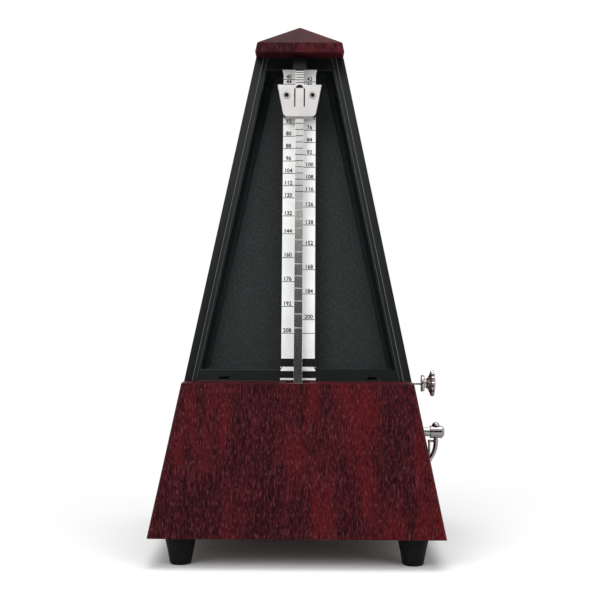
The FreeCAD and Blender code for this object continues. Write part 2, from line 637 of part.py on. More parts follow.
def left_plate():
    bores = [(BARREL, ARBOR_OUT_R + RUNNING), (SECOND, ARBOR_R + RUNNING),
             ((ESCAPE.y, ESCAPE.z), ARBOR_R + RUNNING)]
    return side_plate((LEFT_FACE, PLATE_LEFT), False, bores)


def right_plate():
    bores = [(BARREL, ARBOR_OUT_R + RUNNING), (SECOND, ARBOR_R + RUNNING),
             ((SELECTOR_Y, SELECTOR_Z), SELECTOR_R + RUNNING), (CLICK_PIVOT, SCREW_R),
             (CLICK_FOOT_HOLE, SCREW_R), ((BELL_Y, BELL_Z), BELL_POST_R / 2)]
    return side_plate((PLATE_RIGHT, RIGHT_FACE), True, bores)


def pillars():
    return group(bar_x((PLATE_LEFT, PLATE_RIGHT), y, z, PILLAR_R).cut(
        bar_x((PLATE_LEFT, PLATE_LEFT + DRILL_DEPTH), y, z, SCREW_R)).cut(
        bar_x((PLATE_RIGHT - DRILL_DEPTH, PLATE_RIGHT), y, z, SCREW_R)) for y, z in PILLARS)


def pillar_screws():
    length = PLATE + SCREW_BITE
    return group([screw(vec(LEFT_FACE, y, z), AXIS_X, length) for y, z in PILLARS]
                 + [screw(vec(RIGHT_FACE, y, z), -AXIS_X, length) for y, z in PILLARS])


def mounting_blocks():
    low = FOOT_HEIGHT + FLOOR
    blocks = []
    for x, y in BLOCKS:
        half = BLOCK / 2
        block = box((x - half, x + half), (y - half, y + half), (low, low + BLOCK_HEIGHT))
        blocks.append(block.cut(Part.makeCylinder(SCREW_R, DRILL_DEPTH, vec(x, y, low), AXIS_Z)))
    return group(blocks)


def mounting_screws():
    base = FOOT_HEIGHT + SCREW_HEAD
    return group(screw(vec(x, y, base), AXIS_Z, FLOOR - SCREW_HEAD + SCREW_BITE) for x, y in BLOCKS)


def escape_cock():
    """Bracket from the left plate that carries the inner end of the escape arbor."""
    y, z = ESCAPE.y, ESCAPE.z
    top = z + CROWN_R + CROWN_RIM + COCK_CLEAR
    across = (y - COCK_HALF, y + COCK_HALF)
    arm = box((PLATE_LEFT, COCK_X), across, (top, top + COCK_SKIN))
    drop = box((COCK_X - COCK_SKIN, COCK_X), across, (z - COCK_HALF, top + COCK_SKIN))
    cock = arm.fuse(drop).removeSplitter()
    return cock.cut(bar_x((COCK_X - COCK_SKIN, COCK_X), y, z, ARBOR_R + RUNNING))


def axle_bracket(near, x, ears):
    """Cross bar square to the axle, with ears that lie flat on the side plates."""
    far = near + BRACKET_SKIN
    low, high = PIVOT_UP - BRACKET_HALF, PIVOT_UP + BRACKET_HALF
    points = [(x[0], low), (x[1], low), (x[1], high), (x[0], high)]
    bar = front_plate(points, near, far)
    for ear in ears:
        corners = [(ear[0], low), (ear[1], low), (ear[1], high), (ear[0], high)]
        tab = front_plate(corners, near, far + BRACKET_EAR)
        bar = bar.fuse(tab)
    return bar.removeSplitter().cut(front_bar(0, PIVOT_UP, near, far, AXLE_R + RUNNING))


LEFT_EAR = (PLATE_LEFT, PLATE_LEFT + BRACKET_SKIN)
RIGHT_EAR = (PLATE_RIGHT - BRACKET_SKIN, PLATE_RIGHT)


def axle_bracket_front():
    return axle_bracket(FRONT_BRACKET_DEPTH, (PLATE_LEFT, PLATE_RIGHT), (LEFT_EAR, RIGHT_EAR))


def axle_bracket_rear():
    return axle_bracket(REAR_BRACKET_DEPTH, (PLATE_LEFT, REAR_BRACKET_END), (LEFT_EAR,))


def bush(y, z, bore, x):
    tube = bar_x(x, y, z, bore + BUSH_WALL)
    return tube.cut(bar_x(x, y, z, bore + RUNNING))


def key_bush():
    w = half_width(BARREL_Z)
    ends = (w - wall_inset() - KEY_BUSH_ENDS[0], w + KEY_BUSH_ENDS[1])
    return bush(BARREL_Y, BARREL_Z, ARBOR_OUT_R, ends)


def selector_bush():
    w = half_width(SELECTOR_Z)
    ends = (w - wall_inset() - SELECTOR_BUSH_ENDS[0], w + SELECTOR_BUSH_ENDS[1])
    return bush(SELECTOR_Y, SELECTOR_Z, SELECTOR_R, ends)


# ---- Pendulum ----
def pendulum_rod():
    near, far = ROD_DEPTH - ROD_THICK / 2, ROD_DEPTH + ROD_THICK / 2
    low, high = PIVOT_UP - BOB_DROP, slope(ROD_TIP_HEIGHT, ROD_DEPTH)
    half, shoulder = ROD_WIDTH / 2, high - ROD_CHAMFER
    right = [(half, low), (half, shoulder), (half - ROD_CHAMFER, high)]
    rod = front_plate(right + [(-x, up) for x, up in reversed(right)], near, far)
    rod = rod.cut(front_bar(0, PIVOT_UP, near, far, AXLE_R))
    middles = [mark_up(tempo) + NOTCH_RISE for tempo in TEMPOS]
    return rod.cut(group(front_strip(ROD_WIDTH, up - NOTCH / 2, up + NOTCH / 2, near - NOTCH, near + NOTCH)
                         for up in middles if up + NOTCH < shoulder))


def pendulum_axle():
    near, far = ROD_DEPTH - ROD_THICK / 2, REAR_BRACKET_DEPTH + BRACKET_SKIN + AXLE_END
    shaft = front_bar(0, PIVOT_UP, near - AXLE_HEAD, far, AXLE_R)
    head = front_bar(0, PIVOT_UP, near - AXLE_HEAD, near, AXLE_HEAD_R)
    return shaft.fuse(head).removeSplitter()


def rod_collar():
    near = ROD_DEPTH + ROD_THICK / 2
    tube = front_bar(0, PIVOT_UP, near, near + COLLAR_LENGTH, COLLAR_R)
    return tube.cut(front_bar(0, PIVOT_UP, near, near + COLLAR_LENGTH, AXLE_R))


def pallet(side):
    """Collar and flag; side is 1 for the front one and -1 for the rear one."""
    mid = ESCAPE_DEPTH - side * CROWN_R
    near, far = mid - PALLET_WIDTH / 2, mid + PALLET_WIDTH / 2
    collar = front_bar(0, PIVOT_UP, near, far, PALLET_COLLAR_R)
    angle = pi - side * radians(PALLET_REST)
    t = PALLET_THICK / 2
    corners = [(0, -t), (PALLET_LENGTH, -t), (PALLET_LENGTH, t), (0, t)]
    points = [(a * cos(angle) - b * sin(angle), PIVOT_UP + a * sin(angle) + b * cos(angle))
              for a, b in corners]
    flag = front_plate(points, near, far)
    return collar.fuse(flag).removeSplitter().cut(front_bar(0, PIVOT_UP, near, far, AXLE_R))


def pallet_front():
    return pallet(1)


def pallet_rear():
    return pallet(-1)


def counterweight():
    near, far = ROD_DEPTH - BOB_THICK / 2, ROD_DEPTH + BOB_THICK / 2
    up = PIVOT_UP - BOB_DROP
    disc = front_bar(0, up, near, far, BOB_R)
    rod_near, rod_far = ROD_DEPTH - ROD_THICK / 2, ROD_DEPTH + ROD_THICK / 2
    slot = front_strip(ROD_WIDTH / 2, up, up + 2 * BOB_R, rod_near, rod_far)
    return disc.cut(slot).cut(front_bar(0, up + BOB_R / 2, near, far, SCREW_R))


def bob_rivet():
    near, far = ROD_DEPTH - BOB_THICK / 2, ROD_DEPTH - ROD_THICK / 2
    return front_bar(0, PIVOT_UP - BOB_DROP + BOB_R / 2, near, far, SCREW_R)


# ---- Sliding weight ----
def weight_outline():
    """Half-trapezoid corners, top edge first, as (x, up)."""
    top, low = WEIGHT_UP, WEIGHT_UP - WEIGHT_TALL
    half_top, half_low = WEIGHT_TOP / 2, WEIGHT_BOTTOM / 2
    return [(-half_top, top), (-half_low, low), (half_low, low), (half_top, top)]


def weight_body():
    near, far = WEIGHT_NEAR, WEIGHT_FAR
    body = front_plate(weight_outline(), near, far)
    low = WEIGHT_UP - WEIGHT_TALL
    corner_up = on_front(0, low, (near + far) / 2).dot(UP)
    edges = [e for e in body.Edges if abs(abs(e.tangentAt(0).dot(OUT)) - 1) < 1e-6
             and abs(e.CenterOfMass.dot(UP) - corner_up) < WEIGHT_CORNER]
    body = body.makeFillet(WEIGHT_CORNER, edges)
    half = ROD_WIDTH / 2 + RUNNING
    rod_near, rod_far = near + WEIGHT_FRONT, far - WEIGHT_BACK
    body = body.cut(front_strip(half, low, WEIGHT_UP, rod_near, rod_far))
    pocket_low, pocket_high = low + POCKET_INSET, WEIGHT_UP - POCKET_INSET
    body = body.cut(front_strip(half, pocket_low, pocket_high, rod_far, rod_far + POCKET))
    for side in (-1, 1):
        x, half_slot = side * TONGUE_SLOT_X, TONGUE_SLOT / 2
        slot_low, slot_top = WEIGHT_UP - TONGUE_BOTTOM, WEIGHT_UP - TONGUE_TOP
        corners = [(x - half_slot, slot_low), (x + half_slot, slot_low),
                   (x + half_slot, slot_top), (x - half_slot, slot_top)]
        body = body.cut(front_plate(corners, near, rod_near + RUNNING))
        eye_up = WEIGHT_UP - EYELET_DROP
        body = body.cut(front_bar(side * EYELET_X, eye_up, near, far, EYELET_R - EYELET_LIP))
    mouth_up = WEIGHT_UP - MOUTH_DROP
    arch = front_strip(MOUTH_R, mouth_up, WEIGHT_UP + MOUTH_R, near, rod_near)
    return body.cut(front_bar(0, mouth_up, near, rod_near, MOUTH_R).common(arch))


def weight_spring():
    """Leaf in the weight's pocket, behind the rod."""
    pocket_floor = WEIGHT_FAR - WEIGHT_BACK + POCKET
    inset = POCKET_INSET + LEAF_INSET
    return front_strip(ROD_WIDTH / 2 - LEAF_INSET, WEIGHT_UP - WEIGHT_TALL + inset, WEIGHT_UP - inset,
                       pocket_floor - LEAF_SKIN, pocket_floor)


def weight_rivets():
    """Hollow rivets through the weight."""
    eyelets = []
    for side in (-1, 1):
        x, up = side * EYELET_X, WEIGHT_UP - EYELET_DROP
        near = WEIGHT_NEAR - EYELET_RIM
        shank = front_bar(x, up, WEIGHT_NEAR, WEIGHT_FAR, EYELET_R - EYELET_LIP)
        rim = front_bar(x, up, near, WEIGHT_NEAR, EYELET_R)
        eyelets.append(shank.fuse(rim).cut(front_bar(x, up, near, WEIGHT_FAR, EYELET_BORE)))
    return group(eyelets)


# ---- Going train ----
def great_wheel():
    """Spring barrel with the great wheel on its rim."""
    wheel = gear(BARREL, GREAT_X, GREAT_MODULE, GREAT_TEETH, TO_SECOND)
    drum = bar_x(DRUM_X, *BARREL, DRUM_R).cut(bar_x(DRUM_X, *BARREL, DRUM_R - DRUM_WALL))
    solid = wheel.fuse(drum)
    return solid.cut(bar_x(GREAT_X, *BARREL, ARBOR_OUT_R + RUNNING)).removeSplitter()


def barrel_cover():
    outer, inner = DRUM_X[0] - COVER, DRUM_X[0] + COVER
    disc = bar_x((outer, DRUM_X[0]), *BARREL, DRUM_R)
    disc = disc.fuse(bar_x((DRUM_X[0], inner), *BARREL, DRUM_R - DRUM_WALL))
    return disc.cut(bar_x((outer, inner), *BARREL, ARBOR_OUT_R + RUNNING)).removeSplitter()


def mainspring():
    """Flat strip wound from the arbor out to the drum."""
    inner = ARBOR_OUT_R + SPRING_CLEAR
    outer = DRUM_R - DRUM_WALL - SPRING_CLEAR - SPRING_STRIP
    steps = SPRING_STEPS * SPRING_TURNS
    path = [(inner + (outer - inner) * k / steps, 2 * pi * SPRING_TURNS * k / steps)
            for k in range(steps + 1)]
    inside = [polar(*BARREL, r, a) for r, a in path]
    outside = [polar(*BARREL, r + SPRING_STRIP, a) for r, a in path]
    return yz_plate(inside + outside[::-1], (DRUM_X[0] + SPRING_MARGIN[0], DRUM_X[1] - SPRING_MARGIN[1]))


def arbor(centre, x):
    return bar_x(x, *centre, ARBOR_R)


def second_arbor():
    """Arbor with the pinion driven by the great wheel."""
    shaft = arbor(SECOND, (LEFT_FACE - ARBOR_END, RIGHT_FACE + ARBOR_END))
    start = TO_SECOND + pi + pi / SECOND_PINION_TEETH
    x = (GREAT_X[0] - PINION_OVERHANG, GREAT_X[1] + PINION_OVERHANG)
    pinion = gear(SECOND, x, GREAT_MODULE, SECOND_PINION_TEETH, start)
    return shaft.fuse(pinion).removeSplitter()


def second_wheel():
    wheel = gear(SECOND, SECOND_X, SECOND_MODULE, SECOND_TEETH, TO_ESCAPE)
    hub = (SECOND_X[0] - WHEEL_HUB_RISE, SECOND_X[1] + WHEEL_HUB_RISE)
    wheel = wheel.fuse(bar_x(hub, *SECOND, WHEEL_HUB_R))
    for k in range(WHEEL_HOLES):
        y, z = polar(*SECOND, WHEEL_HOLE_REACH, TO_ESCAPE + 2 * pi * (k + 0.5) / WHEEL_HOLES)
        wheel = wheel.cut(bar_x(SECOND_X, y, z, WHEEL_HOLE_R))
    return wheel.cut(bar_x(hub, *SECOND, ARBOR_R))


def bell_cams():
    """Star discs on one hub: one for each number of beats between strokes."""
    first = FINGER_X - 2 * SELECTOR_PITCH
    last = first + (len(CAM_TEETH) - 1) * SELECTOR_PITCH
    ends = (first - CAM_HUB_END, last + CAM_HUB_END)
    hub = bar_x(ends, *SECOND, WHEEL_HUB_R)
    for k, teeth in enumerate(CAM_TEETH):
        mid = first + k * SELECTOR_PITCH
        rings = ((CAM_R - CAM_DEPTH, 0.0), (CAM_R, CAM_PEAK), (CAM_R - CAM_DEPTH, 0.5))
        x = (mid - CAM_THICK / 2, mid + CAM_THICK / 2)
        hub = hub.fuse(toothed(SECOND, x, rings, teeth, TO_ESCAPE))
    return hub.cut(bar_x(ends, *SECOND, ARBOR_R))


def escape_arbor():
    centre = (ESCAPE.y, ESCAPE.z)
    web = CROWN_TIP_X - CROWN_TOOTH - CROWN_CUP
    shaft = arbor(centre, (LEFT_FACE - ARBOR_END, web + CROWN_WEB / 2))
    start = TO_ESCAPE + pi + pi / ESCAPE_PINION_TEETH
    x = (SECOND_X[0] - PINION_OVERHANG, SECOND_X[1] + PINION_OVERHANG)
    pinion = gear(centre, x, SECOND_MODULE, ESCAPE_PINION_TEETH, start)
    return shaft.fuse(pinion).removeSplitter()


def escape_wheel():
    """Crown wheel. At rest both pallets' flags would fall into gaps between its teeth."""
    centre = (ESCAPE.y, ESCAPE.z)
    gullet = CROWN_TIP_X - CROWN_TOOTH
    base = gullet - CROWN_CUP
    outer, inner = CROWN_R + CROWN_RIM / 2, CROWN_R - CROWN_RIM / 2
    cup = bar_x((base, gullet), *centre, outer).cut(bar_x((base + CROWN_WEB, gullet), *centre, inner))
    solid = cup.cut(bar_x((base, gullet), *centre, ARBOR_R))
    pitch = 2 * pi / CROWN_TEETH
    drop = radians(PALLET_REST - SWING)
    dip = asin(0.95 * PALLET_LENGTH * sin(drop) / CROWN_R)
    first = pi - LEAN - dip - pitch / 4
    foot, tip = CROWN_TOOTH_WIDTH[0] / 2, CROWN_TOOTH_WIDTH[1] / 2
    root, y = gullet - CROWN_TOOTH_ROOT, inner + RUNNING
    flank = outline_face([vec(root, y, -foot), vec(root, y, foot),
                          vec(CROWN_TIP_X, y, tip), vec(CROWN_TIP_X, y, -tip)])
    for k in range(CROWN_TEETH):
        tooth = flank.extrude(vec(0, CROWN_RIM - 2 * RUNNING, 0))
        tooth.rotate(vec(0, 0, 0), AXIS_X, degrees(first - k * pitch))
        tooth.translate(vec(0, *centre))
        solid = solid.fuse(tooth)
    return solid


# ---- Winding arbor, ratchet and key ----
def winding_arbor():
    return bar_x((LEFT_FACE - ARBOR_END, KEY_NECK_X), *BARREL, ARBOR_OUT_R)


def ratchet_wheel():
    rings = ((RATCHET_R - RATCHET_DEPTH, 0.0), (RATCHET_R, 0.8), (RATCHET_R - RATCHET_DEPTH, 1.0 - 1e-3))
    wheel = toothed(BARREL, RATCHET_X, rings, RATCHET_TEETH, 0.0)
    return wheel.cut(bar_x(RATCHET_X, *BARREL, ARBOR_OUT_R))


def key_head():
    """Round head with a cross hole for the bow's pin."""
    shoulder = KEY_HEAD_X - KEY_BEVEL
    body = bar_x((KEY_NECK_X, shoulder), *BARREL, KEY_HEAD_R)
    end = Part.makeCone(KEY_HEAD_R, KEY_HEAD_R - KEY_BEVEL, KEY_BEVEL, vec(shoulder, *BARREL), AXIS_X)
    hole = Part.makeCylinder(BOW_PIN_R + RUNNING, 4 * KEY_HEAD_R,
                             vec(BOW_PIN_X, BARREL_Y, BARREL_Z - 2 * KEY_HEAD_R), AXIS_Z)
    return body.fuse(end).removeSplitter().cut(hole)


def key_bow():
    """Swivelling D-shaped bow: its pin stands in the head, its curved limb bulges outwards."""
    high = BARREL_Z - KEY_HEAD_R - RUNNING - BOW_WIRE_R - BOW_KNUCKLE
    top, low = vec(BOW_PIN_X, BARREL_Y, high), vec(BOW_LIMB_X, BARREL_Y, BARREL_Z - BOW_DROP)
    chord = (top - low).normalize()
    crown = (top + low) * 0.5 + chord.cross(vec(0, -1, 0)) * BOW_BULGE
    arc = Part.Arc(top, crown, low)
    ring = Part.Wire(Part.Circle(top, arc.tangent(arc.FirstParameter)[0], BOW_WIRE_R).toShape())
    bow = Part.Wire(arc.toShape()).makePipeShell([ring], True, True)
    limb_top = vec(BOW_LIMB_X, BARREL_Y, high)
    pin_top = BARREL_Z + KEY_HEAD_R + RUNNING
    knuckle = BOW_WIRE_R + BOW_KNUCKLE
    pieces = [Part.makeSphere(knuckle, top), Part.makeSphere(knuckle, low),
              Part.makeSphere(BOW_LIMB_R + BOW_KNUCKLE, limb_top),
              Part.makeCylinder(BOW_LIMB_R, high - low.z, low, AXIS_Z),
              Part.makeCylinder(BOW_LIMB_R, BOW_PIN_X - BOW_LIMB_X, limb_top, AXIS_X),
              Part.makeCylinder(BOW_PIN_R, pin_top - high, top, AXIS_Z)]
    return bow.multiFuse(pieces)


def key_rivet():
    """Domed end of the bow's pin."""
    low = BARREL_Z + KEY_HEAD_R + RUNNING
    radius = (RIVET_R ** 2 + RIVET_RISE ** 2) / (2 * RIVET_RISE)
    ball = Part.makeSphere(radius, vec(BOW_PIN_X, BARREL_Y, low + RIVET_RISE - radius))
    return ball.common(Part.makeCylinder(2 * RIVET_R, 2 * RIVET_RISE, vec(BOW_PIN_X, BARREL_Y, low), AXIS_Z))


def click():
    """Pawl on the right plate, its nose held behind a tooth of the ratchet."""
    pitch = 2 * pi / RATCHET_TEETH
    py, pz = CLICK_PIVOT
    aim = atan2(pz - BARREL_Z, py - BARREL_Y)
    valley = floor((aim - radians(CLICK_LATCH_BEHIND)) / pitch) * pitch
    root = RATCHET_R - RATCHET_DEPTH

    def near(r, share):
        return polar(*BARREL, r, valley + share * pitch)

    nose = [near(RATCHET_R + 2.0, -0.10), near(RATCHET_R, -0.13), near(root + 2 * CLICK_GAP, 0.03),
            near(RATCHET_R + CLICK_GAP / 2, 0.6)]
    in_hub = CLICK_HUB_R - 0.2
    heel = [polar(py, pz, in_hub, aim + pi + 0.2), (py, pz), polar(py, pz, in_hub, aim - 1.3)]
    arm = yz_plate(nose + heel, RATCHET_X)
    hub = bar_x(RATCHET_X, py, pz, CLICK_HUB_R)
    tail = box(RATCHET_X, (py - CLICK_TAIL_HALF, py + CLICK_TAIL_HALF), (pz, pz + CLICK_TAIL))
    pawl = arm.fuse(hub).fuse(tail).removeSplitter()
    return pawl.cut(bar_x(RATCHET_X, py, pz, SCREW_R + RUNNING))


def click_screws():
    """Shoulder screw of the click, and the screw of its spring's foot."""
    shoulder, foot_face = RATCHET_X[1] + CLICK_PLAY, RIGHT_FACE + CLICK_SPRING_WIDE
    return group([screw(vec(shoulder, *CLICK_PIVOT), -AXIS_X, shoulder - PLATE_RIGHT),
                  screw(vec(foot_face, *CLICK_FOOT_HOLE), -AXIS_X, foot_face - PLATE_RIGHT)])


def click_spring():
    """Leaf on the right plate beside the click's tail."""
    py, pz = CLICK_PIVOT
    x = (RIGHT_FACE, RIGHT_FACE + CLICK_SPRING_WIDE)
    (foot_near, foot_far), (foot_low, foot_high) = CLICK_FOOT
    near = py - CLICK_TAIL_HALF - CLICK_SPRING_GAP
    foot = box(x, (py + foot_near, py + foot_far), (pz + foot_low, pz + foot_high))
    leaf = box(x, (near - CLICK_LEAF, near), (pz + CLICK_HUB_R + SEAM, pz + foot_low + SEAM))
    return foot.cut(bar_x(x, *CLICK_FOOT_HOLE, SCREW_R)).fuse(leaf).removeSplitter()


# ---- Bell, hammer and selector ----
def bell():
    """Shallow dome, open towards the middle of the case."""
    radius = (BELL_R ** 2 + BELL_DEPTH ** 2) / (2 * BELL_DEPTH)
    centre = vec(BELL_APEX_X - radius, BELL_Y, BELL_Z)
    shell = Part.makeSphere(radius, centre).cut(Part.makeSphere(radius - BELL_SKIN, centre))
    keep = bar_x((BELL_APEX_X - BELL_DEPTH, PLATE_RIGHT), BELL_Y, BELL_Z, 2 * BELL_R)
    return shell.common(keep).cut(bar_x((0, PLATE_RIGHT), BELL_Y, BELL_Z, BELL_POST_R / 2))


def bell_post():
    """Stud from the right plate, with a shoulder behind the bell and a nut inside it."""
    inside = BELL_APEX_X - BELL_SKIN
    stud = bar_x((BELL_APEX_X - BELL_STUD_END, RIGHT_FACE), BELL_Y, BELL_Z, BELL_POST_R / 2)
    shoulder = bar_x((BELL_APEX_X, PLATE_RIGHT), BELL_Y, BELL_Z, BELL_POST_R)
    nut = bar_x((inside - BELL_NUT[1], inside - BELL_NUT[0]), BELL_Y, BELL_Z, BELL_NUT_R)
    return stud.fuse(shoulder).fuse(nut).removeSplitter()


def selector_rod():
    """Rod with a groove for each place of the selector, under the detent spring."""
    rod = bar_x((SELECTOR_INNER_END, SELECTOR_DISC_X + KNOB_BORE), SELECTOR_Y, SELECTOR_Z, SELECTOR_R)
    for k in range(SELECTOR_GROOVES):
        x = RIGHT_FACE + k * SELECTOR_PITCH
        band = (x - GROOVE_HALF, x + GROOVE_HALF)
        core = bar_x(band, SELECTOR_Y, SELECTOR_Z, SELECTOR_R - GROOVE_DEEP)
        rod = rod.cut(bar_x(band, SELECTOR_Y, SELECTOR_Z, 2 * SELECTOR_R).cut(core))
    return rod


def selector_knob():
    """Turned knob: thin flange, waisted neck and a scalloped head."""
    x = SELECTOR_DISC_X
    profile = [(x, SELECTOR_R), (x, KNOB_DISC_R), (x + 1.1, KNOB_DISC_R), (x + 1.2, KNOB_NECK_R + 0.3),
               (x + 2.0, KNOB_NECK_R), (x + 2.8, KNOB_NECK_R + 0.5), (x + 3.5, KNOB_NECK_R + 1.4),
               (x + 3.9, KNOB_R - 0.4), (x + 4.3, KNOB_R), (x + 5.7, KNOB_R), (x + 6.1, KNOB_R - 0.5),
               (x + 6.1, 0.0), (x + KNOB_BORE, 0.0), (x + KNOB_BORE, SELECTOR_R)]
    face = outline_face([vec(a, SELECTOR_Y, SELECTOR_Z + r) for a, r in profile])
    knob = face.revolve(vec(0, SELECTOR_Y, SELECTOR_Z), AXIS_X, 360)
    for k in range(KNOB_LOBES):
        y, z = polar(SELECTOR_Y, SELECTOR_Z, KNOB_R + 0.35, 2 * pi * k / KNOB_LOBES)
        knob = knob.fuse(bar_x((x + 4.5, x + 5.6), y, z, KNOB_LOBE_R))
    return knob


def selector_collars():
    """Two rings on the rod that carry the hammer along."""
    rings = []
    near, far = HAMMER_COLLAR
    for x in ((HAMMER_X[0] - far, HAMMER_X[0] - near), (HAMMER_X[1] + near, HAMMER_X[1] + far)):
        ring = bar_x(x, SELECTOR_Y, SELECTOR_Z, HAMMER_COLLAR_R)
        rings.append(ring.cut(bar_x(x, SELECTOR_Y, SELECTOR_Z, SELECTOR_R)))
    return group(rings)


def hammer_arm():
    """Sleeve on the selector rod with a finger down to the star discs and an arm up."""
    y, z = SELECTOR_Y, SELECTOR_Z
    away = atan2(z - SECOND[1], y - SECOND[0])
    tip = polar(*SECOND, CAM_R + FINGER_GAP, away)
    side = (-sin(away) * FINGER_HALF, cos(away) * FINGER_HALF)
    x = (FINGER_X - FINGER_THICK / 2, FINGER_X + FINGER_THICK / 2)
    finger = yz_plate([tip, (y - side[0] * 2, z - side[1] * 2), (y + side[0] * 2, z + side[1] * 2),
                       (tip[0] + side[0], tip[1] + side[1])], x)
    head_y, head_z = HAMMER_HEAD
    foot, top, half = HAMMER_ARM_HALF
    arm = yz_plate([(y - foot, z), (y + foot, z), (head_y + top, head_z), (head_y - top, head_z)],
                   (FINGER_X - half, FINGER_X + half))
    solid = bar_x(HAMMER_X, y, z, HAMMER_HUB_R).fuse(finger).fuse(arm).removeSplitter()
    solid = solid.cut(bar_x(HAMMER_ROLL_X, *HAMMER_HEAD, HAMMER_ROLL_R))
    return solid.cut(bar_x(HAMMER_X, y, z, SELECTOR_R + RUNNING))


def hammer_head():
    return bar_x(HAMMER_ROLL_X, *HAMMER_HEAD, HAMMER_ROLL_R)


def detent_spring():
    """Leaf on the right plate beside the selector rod's grooves."""
    x = (RIGHT_FACE, RIGHT_FACE + DETENT_SKIN)
    y, z = SELECTOR_Y + SELECTOR_R + DETENT_GAP, SELECTOR_Z
    foot = box(x, (y + DETENT_FOOT[0], y + DETENT_FOOT[1]), (z - DETENT_FOOT_HALF, z + DETENT_FOOT_HALF))
    leaf = box((x[1] - DETENT_LEAF, x[1]), (y, y + DETENT_FOOT[0] + DETENT_LEAF_HALF),
               (z - DETENT_LEAF_HALF, z + DETENT_LEAF_HALF))
    return foot.fuse(leaf).removeSplitter()


BUILDERS = {
    "case_body": case_body, "cap": cap, "cap_screws": cap_screws, "inner_frame": inner_frame,
    "scale_plate": scale_plate, "rod_rest": rod_rest, "bottom_plate": bottom_plate,
    "foot_screws": foot_screws, "left_plate": left_plate, "right_plate": right_plate,
    "pillars": pillars, "pillar_screws": pillar_screws, "mounting_blocks": mounting_blocks,
    "mounting_screws": mounting_screws, "escape_cock": escape_cock,
    "axle_bracket_front": axle_bracket_front, "axle_bracket_rear": axle_bracket_rear,
    "key_bush": key_bush, "selector_bush": selector_bush, "click_screws": click_screws,
    "click_spring": click_spring, "bell": bell, "bell_post": bell_post,
    "detent_spring": detent_spring, "pendulum_rod": pendulum_rod, "pendulum_axle": pendulum_axle,
    "rod_collar": rod_collar, "pallet_front": pallet_front, "pallet_rear": pallet_rear,
    "counterweight": counterweight, "bob_rivet": bob_rivet, "weight_body": weight_body,
    "weight_spring": weight_spring, "weight_rivets": weight_rivets, "great_wheel": great_wheel,
    "barrel_cover": barrel_cover, "mainspring": mainspring, "second_arbor": second_arbor,
    "second_wheel": second_wheel, "bell_cams": bell_cams, "escape_arbor": escape_arbor,
    "escape_wheel": escape_wheel, "winding_arbor": winding_arbor, "ratchet_wheel": ratchet_wheel,
    "key_head": key_head, "key_bow": key_bow, "key_rivet": key_rivet, "click": click,
    "selector_rod": selector_rod, "selector_knob": selector_knob,
    "selector_collars": selector_collars, "hammer_arm": hammer_arm, "hammer_head": hammer_head,
}


def main():
    os.makedirs("parts", exist_ok=True)
    shapes = {name: build() for name, build in BUILDERS.items()}
    shapes.update({f"foot_{name}": foot(name) for name in FEET})
    for name, shape in shapes.items():
        shape.exportStep(f"parts/{name}.step")
        print(name, len(shape.Solids), round(shape.Volume, 2), shape.isValid())
    print("pivot", PIVOT, "escape", ESCAPE, "second", SECOND, "click", CLICK_PIVOT)


main()
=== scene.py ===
"""A clockwork pyramid metronome with its front cover off, dressed around its fixed CAD frame.

Lengths are in metres, written through mm(). X is right, Y is away from the viewer and Z is up.
The origin is on the ground, on the axis of the case. Places on the sloping front are given as
x, the distance up the slope from the ground, and the height out of the front plane.
"""

import json
import logging
import math
from dataclasses import dataclass, field
from enum import Enum
from typing import Any, Callable, Iterable, Optional, Sequence, Union

import bmesh
import bpy
from mathutils import Matrix, Vector


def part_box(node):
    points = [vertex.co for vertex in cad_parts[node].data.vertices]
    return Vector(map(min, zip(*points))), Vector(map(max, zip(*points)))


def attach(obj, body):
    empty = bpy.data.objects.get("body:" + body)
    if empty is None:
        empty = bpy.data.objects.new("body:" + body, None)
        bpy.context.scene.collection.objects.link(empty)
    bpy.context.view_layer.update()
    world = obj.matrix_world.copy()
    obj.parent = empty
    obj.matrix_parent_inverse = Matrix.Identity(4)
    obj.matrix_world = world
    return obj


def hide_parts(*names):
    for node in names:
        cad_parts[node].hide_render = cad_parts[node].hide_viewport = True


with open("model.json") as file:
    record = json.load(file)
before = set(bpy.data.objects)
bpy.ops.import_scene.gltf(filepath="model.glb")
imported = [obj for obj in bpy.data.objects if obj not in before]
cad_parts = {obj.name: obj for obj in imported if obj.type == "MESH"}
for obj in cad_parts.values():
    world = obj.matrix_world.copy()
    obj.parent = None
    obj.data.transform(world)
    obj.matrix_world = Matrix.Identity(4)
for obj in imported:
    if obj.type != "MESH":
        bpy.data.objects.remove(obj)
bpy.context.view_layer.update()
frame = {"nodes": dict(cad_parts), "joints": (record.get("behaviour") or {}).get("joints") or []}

LOG = logging.getLogger("metronome")
LEAST_TURN = 12.0
Colour = tuple[float, float, float, float]
Point = tuple[float, float, float]
Outline = Sequence[tuple[float, float]]
Values = Optional[dict[Union[str, int], Any]]


def mm(value: float) -> float:
    """Millimetres as metres."""
    return value * 0.001


def mm_points(*points: tuple[float, float]) -> tuple[tuple[float, float], ...]:
    """Points in millimetres as points in metres."""
    return tuple((mm(x), mm(y)) for x, y in points)


def srgb(code: str) -> Colour:
    """Turn a display colour into the linear one that a shader works in.

    Args:
        code: six hexadecimal digits, red first.

    Returns:
        Linear red, green, blue and an alpha of 1.
    """
    parts = [int(code[k:k + 2], 16) / 255 for k in (0, 2, 4)]
    red, green, blue = (p / 12.92 if p <= 0.04045 else ((p + 0.055) / 1.055) ** 2.4 for p in parts)
    return red, green, blue, 1.0


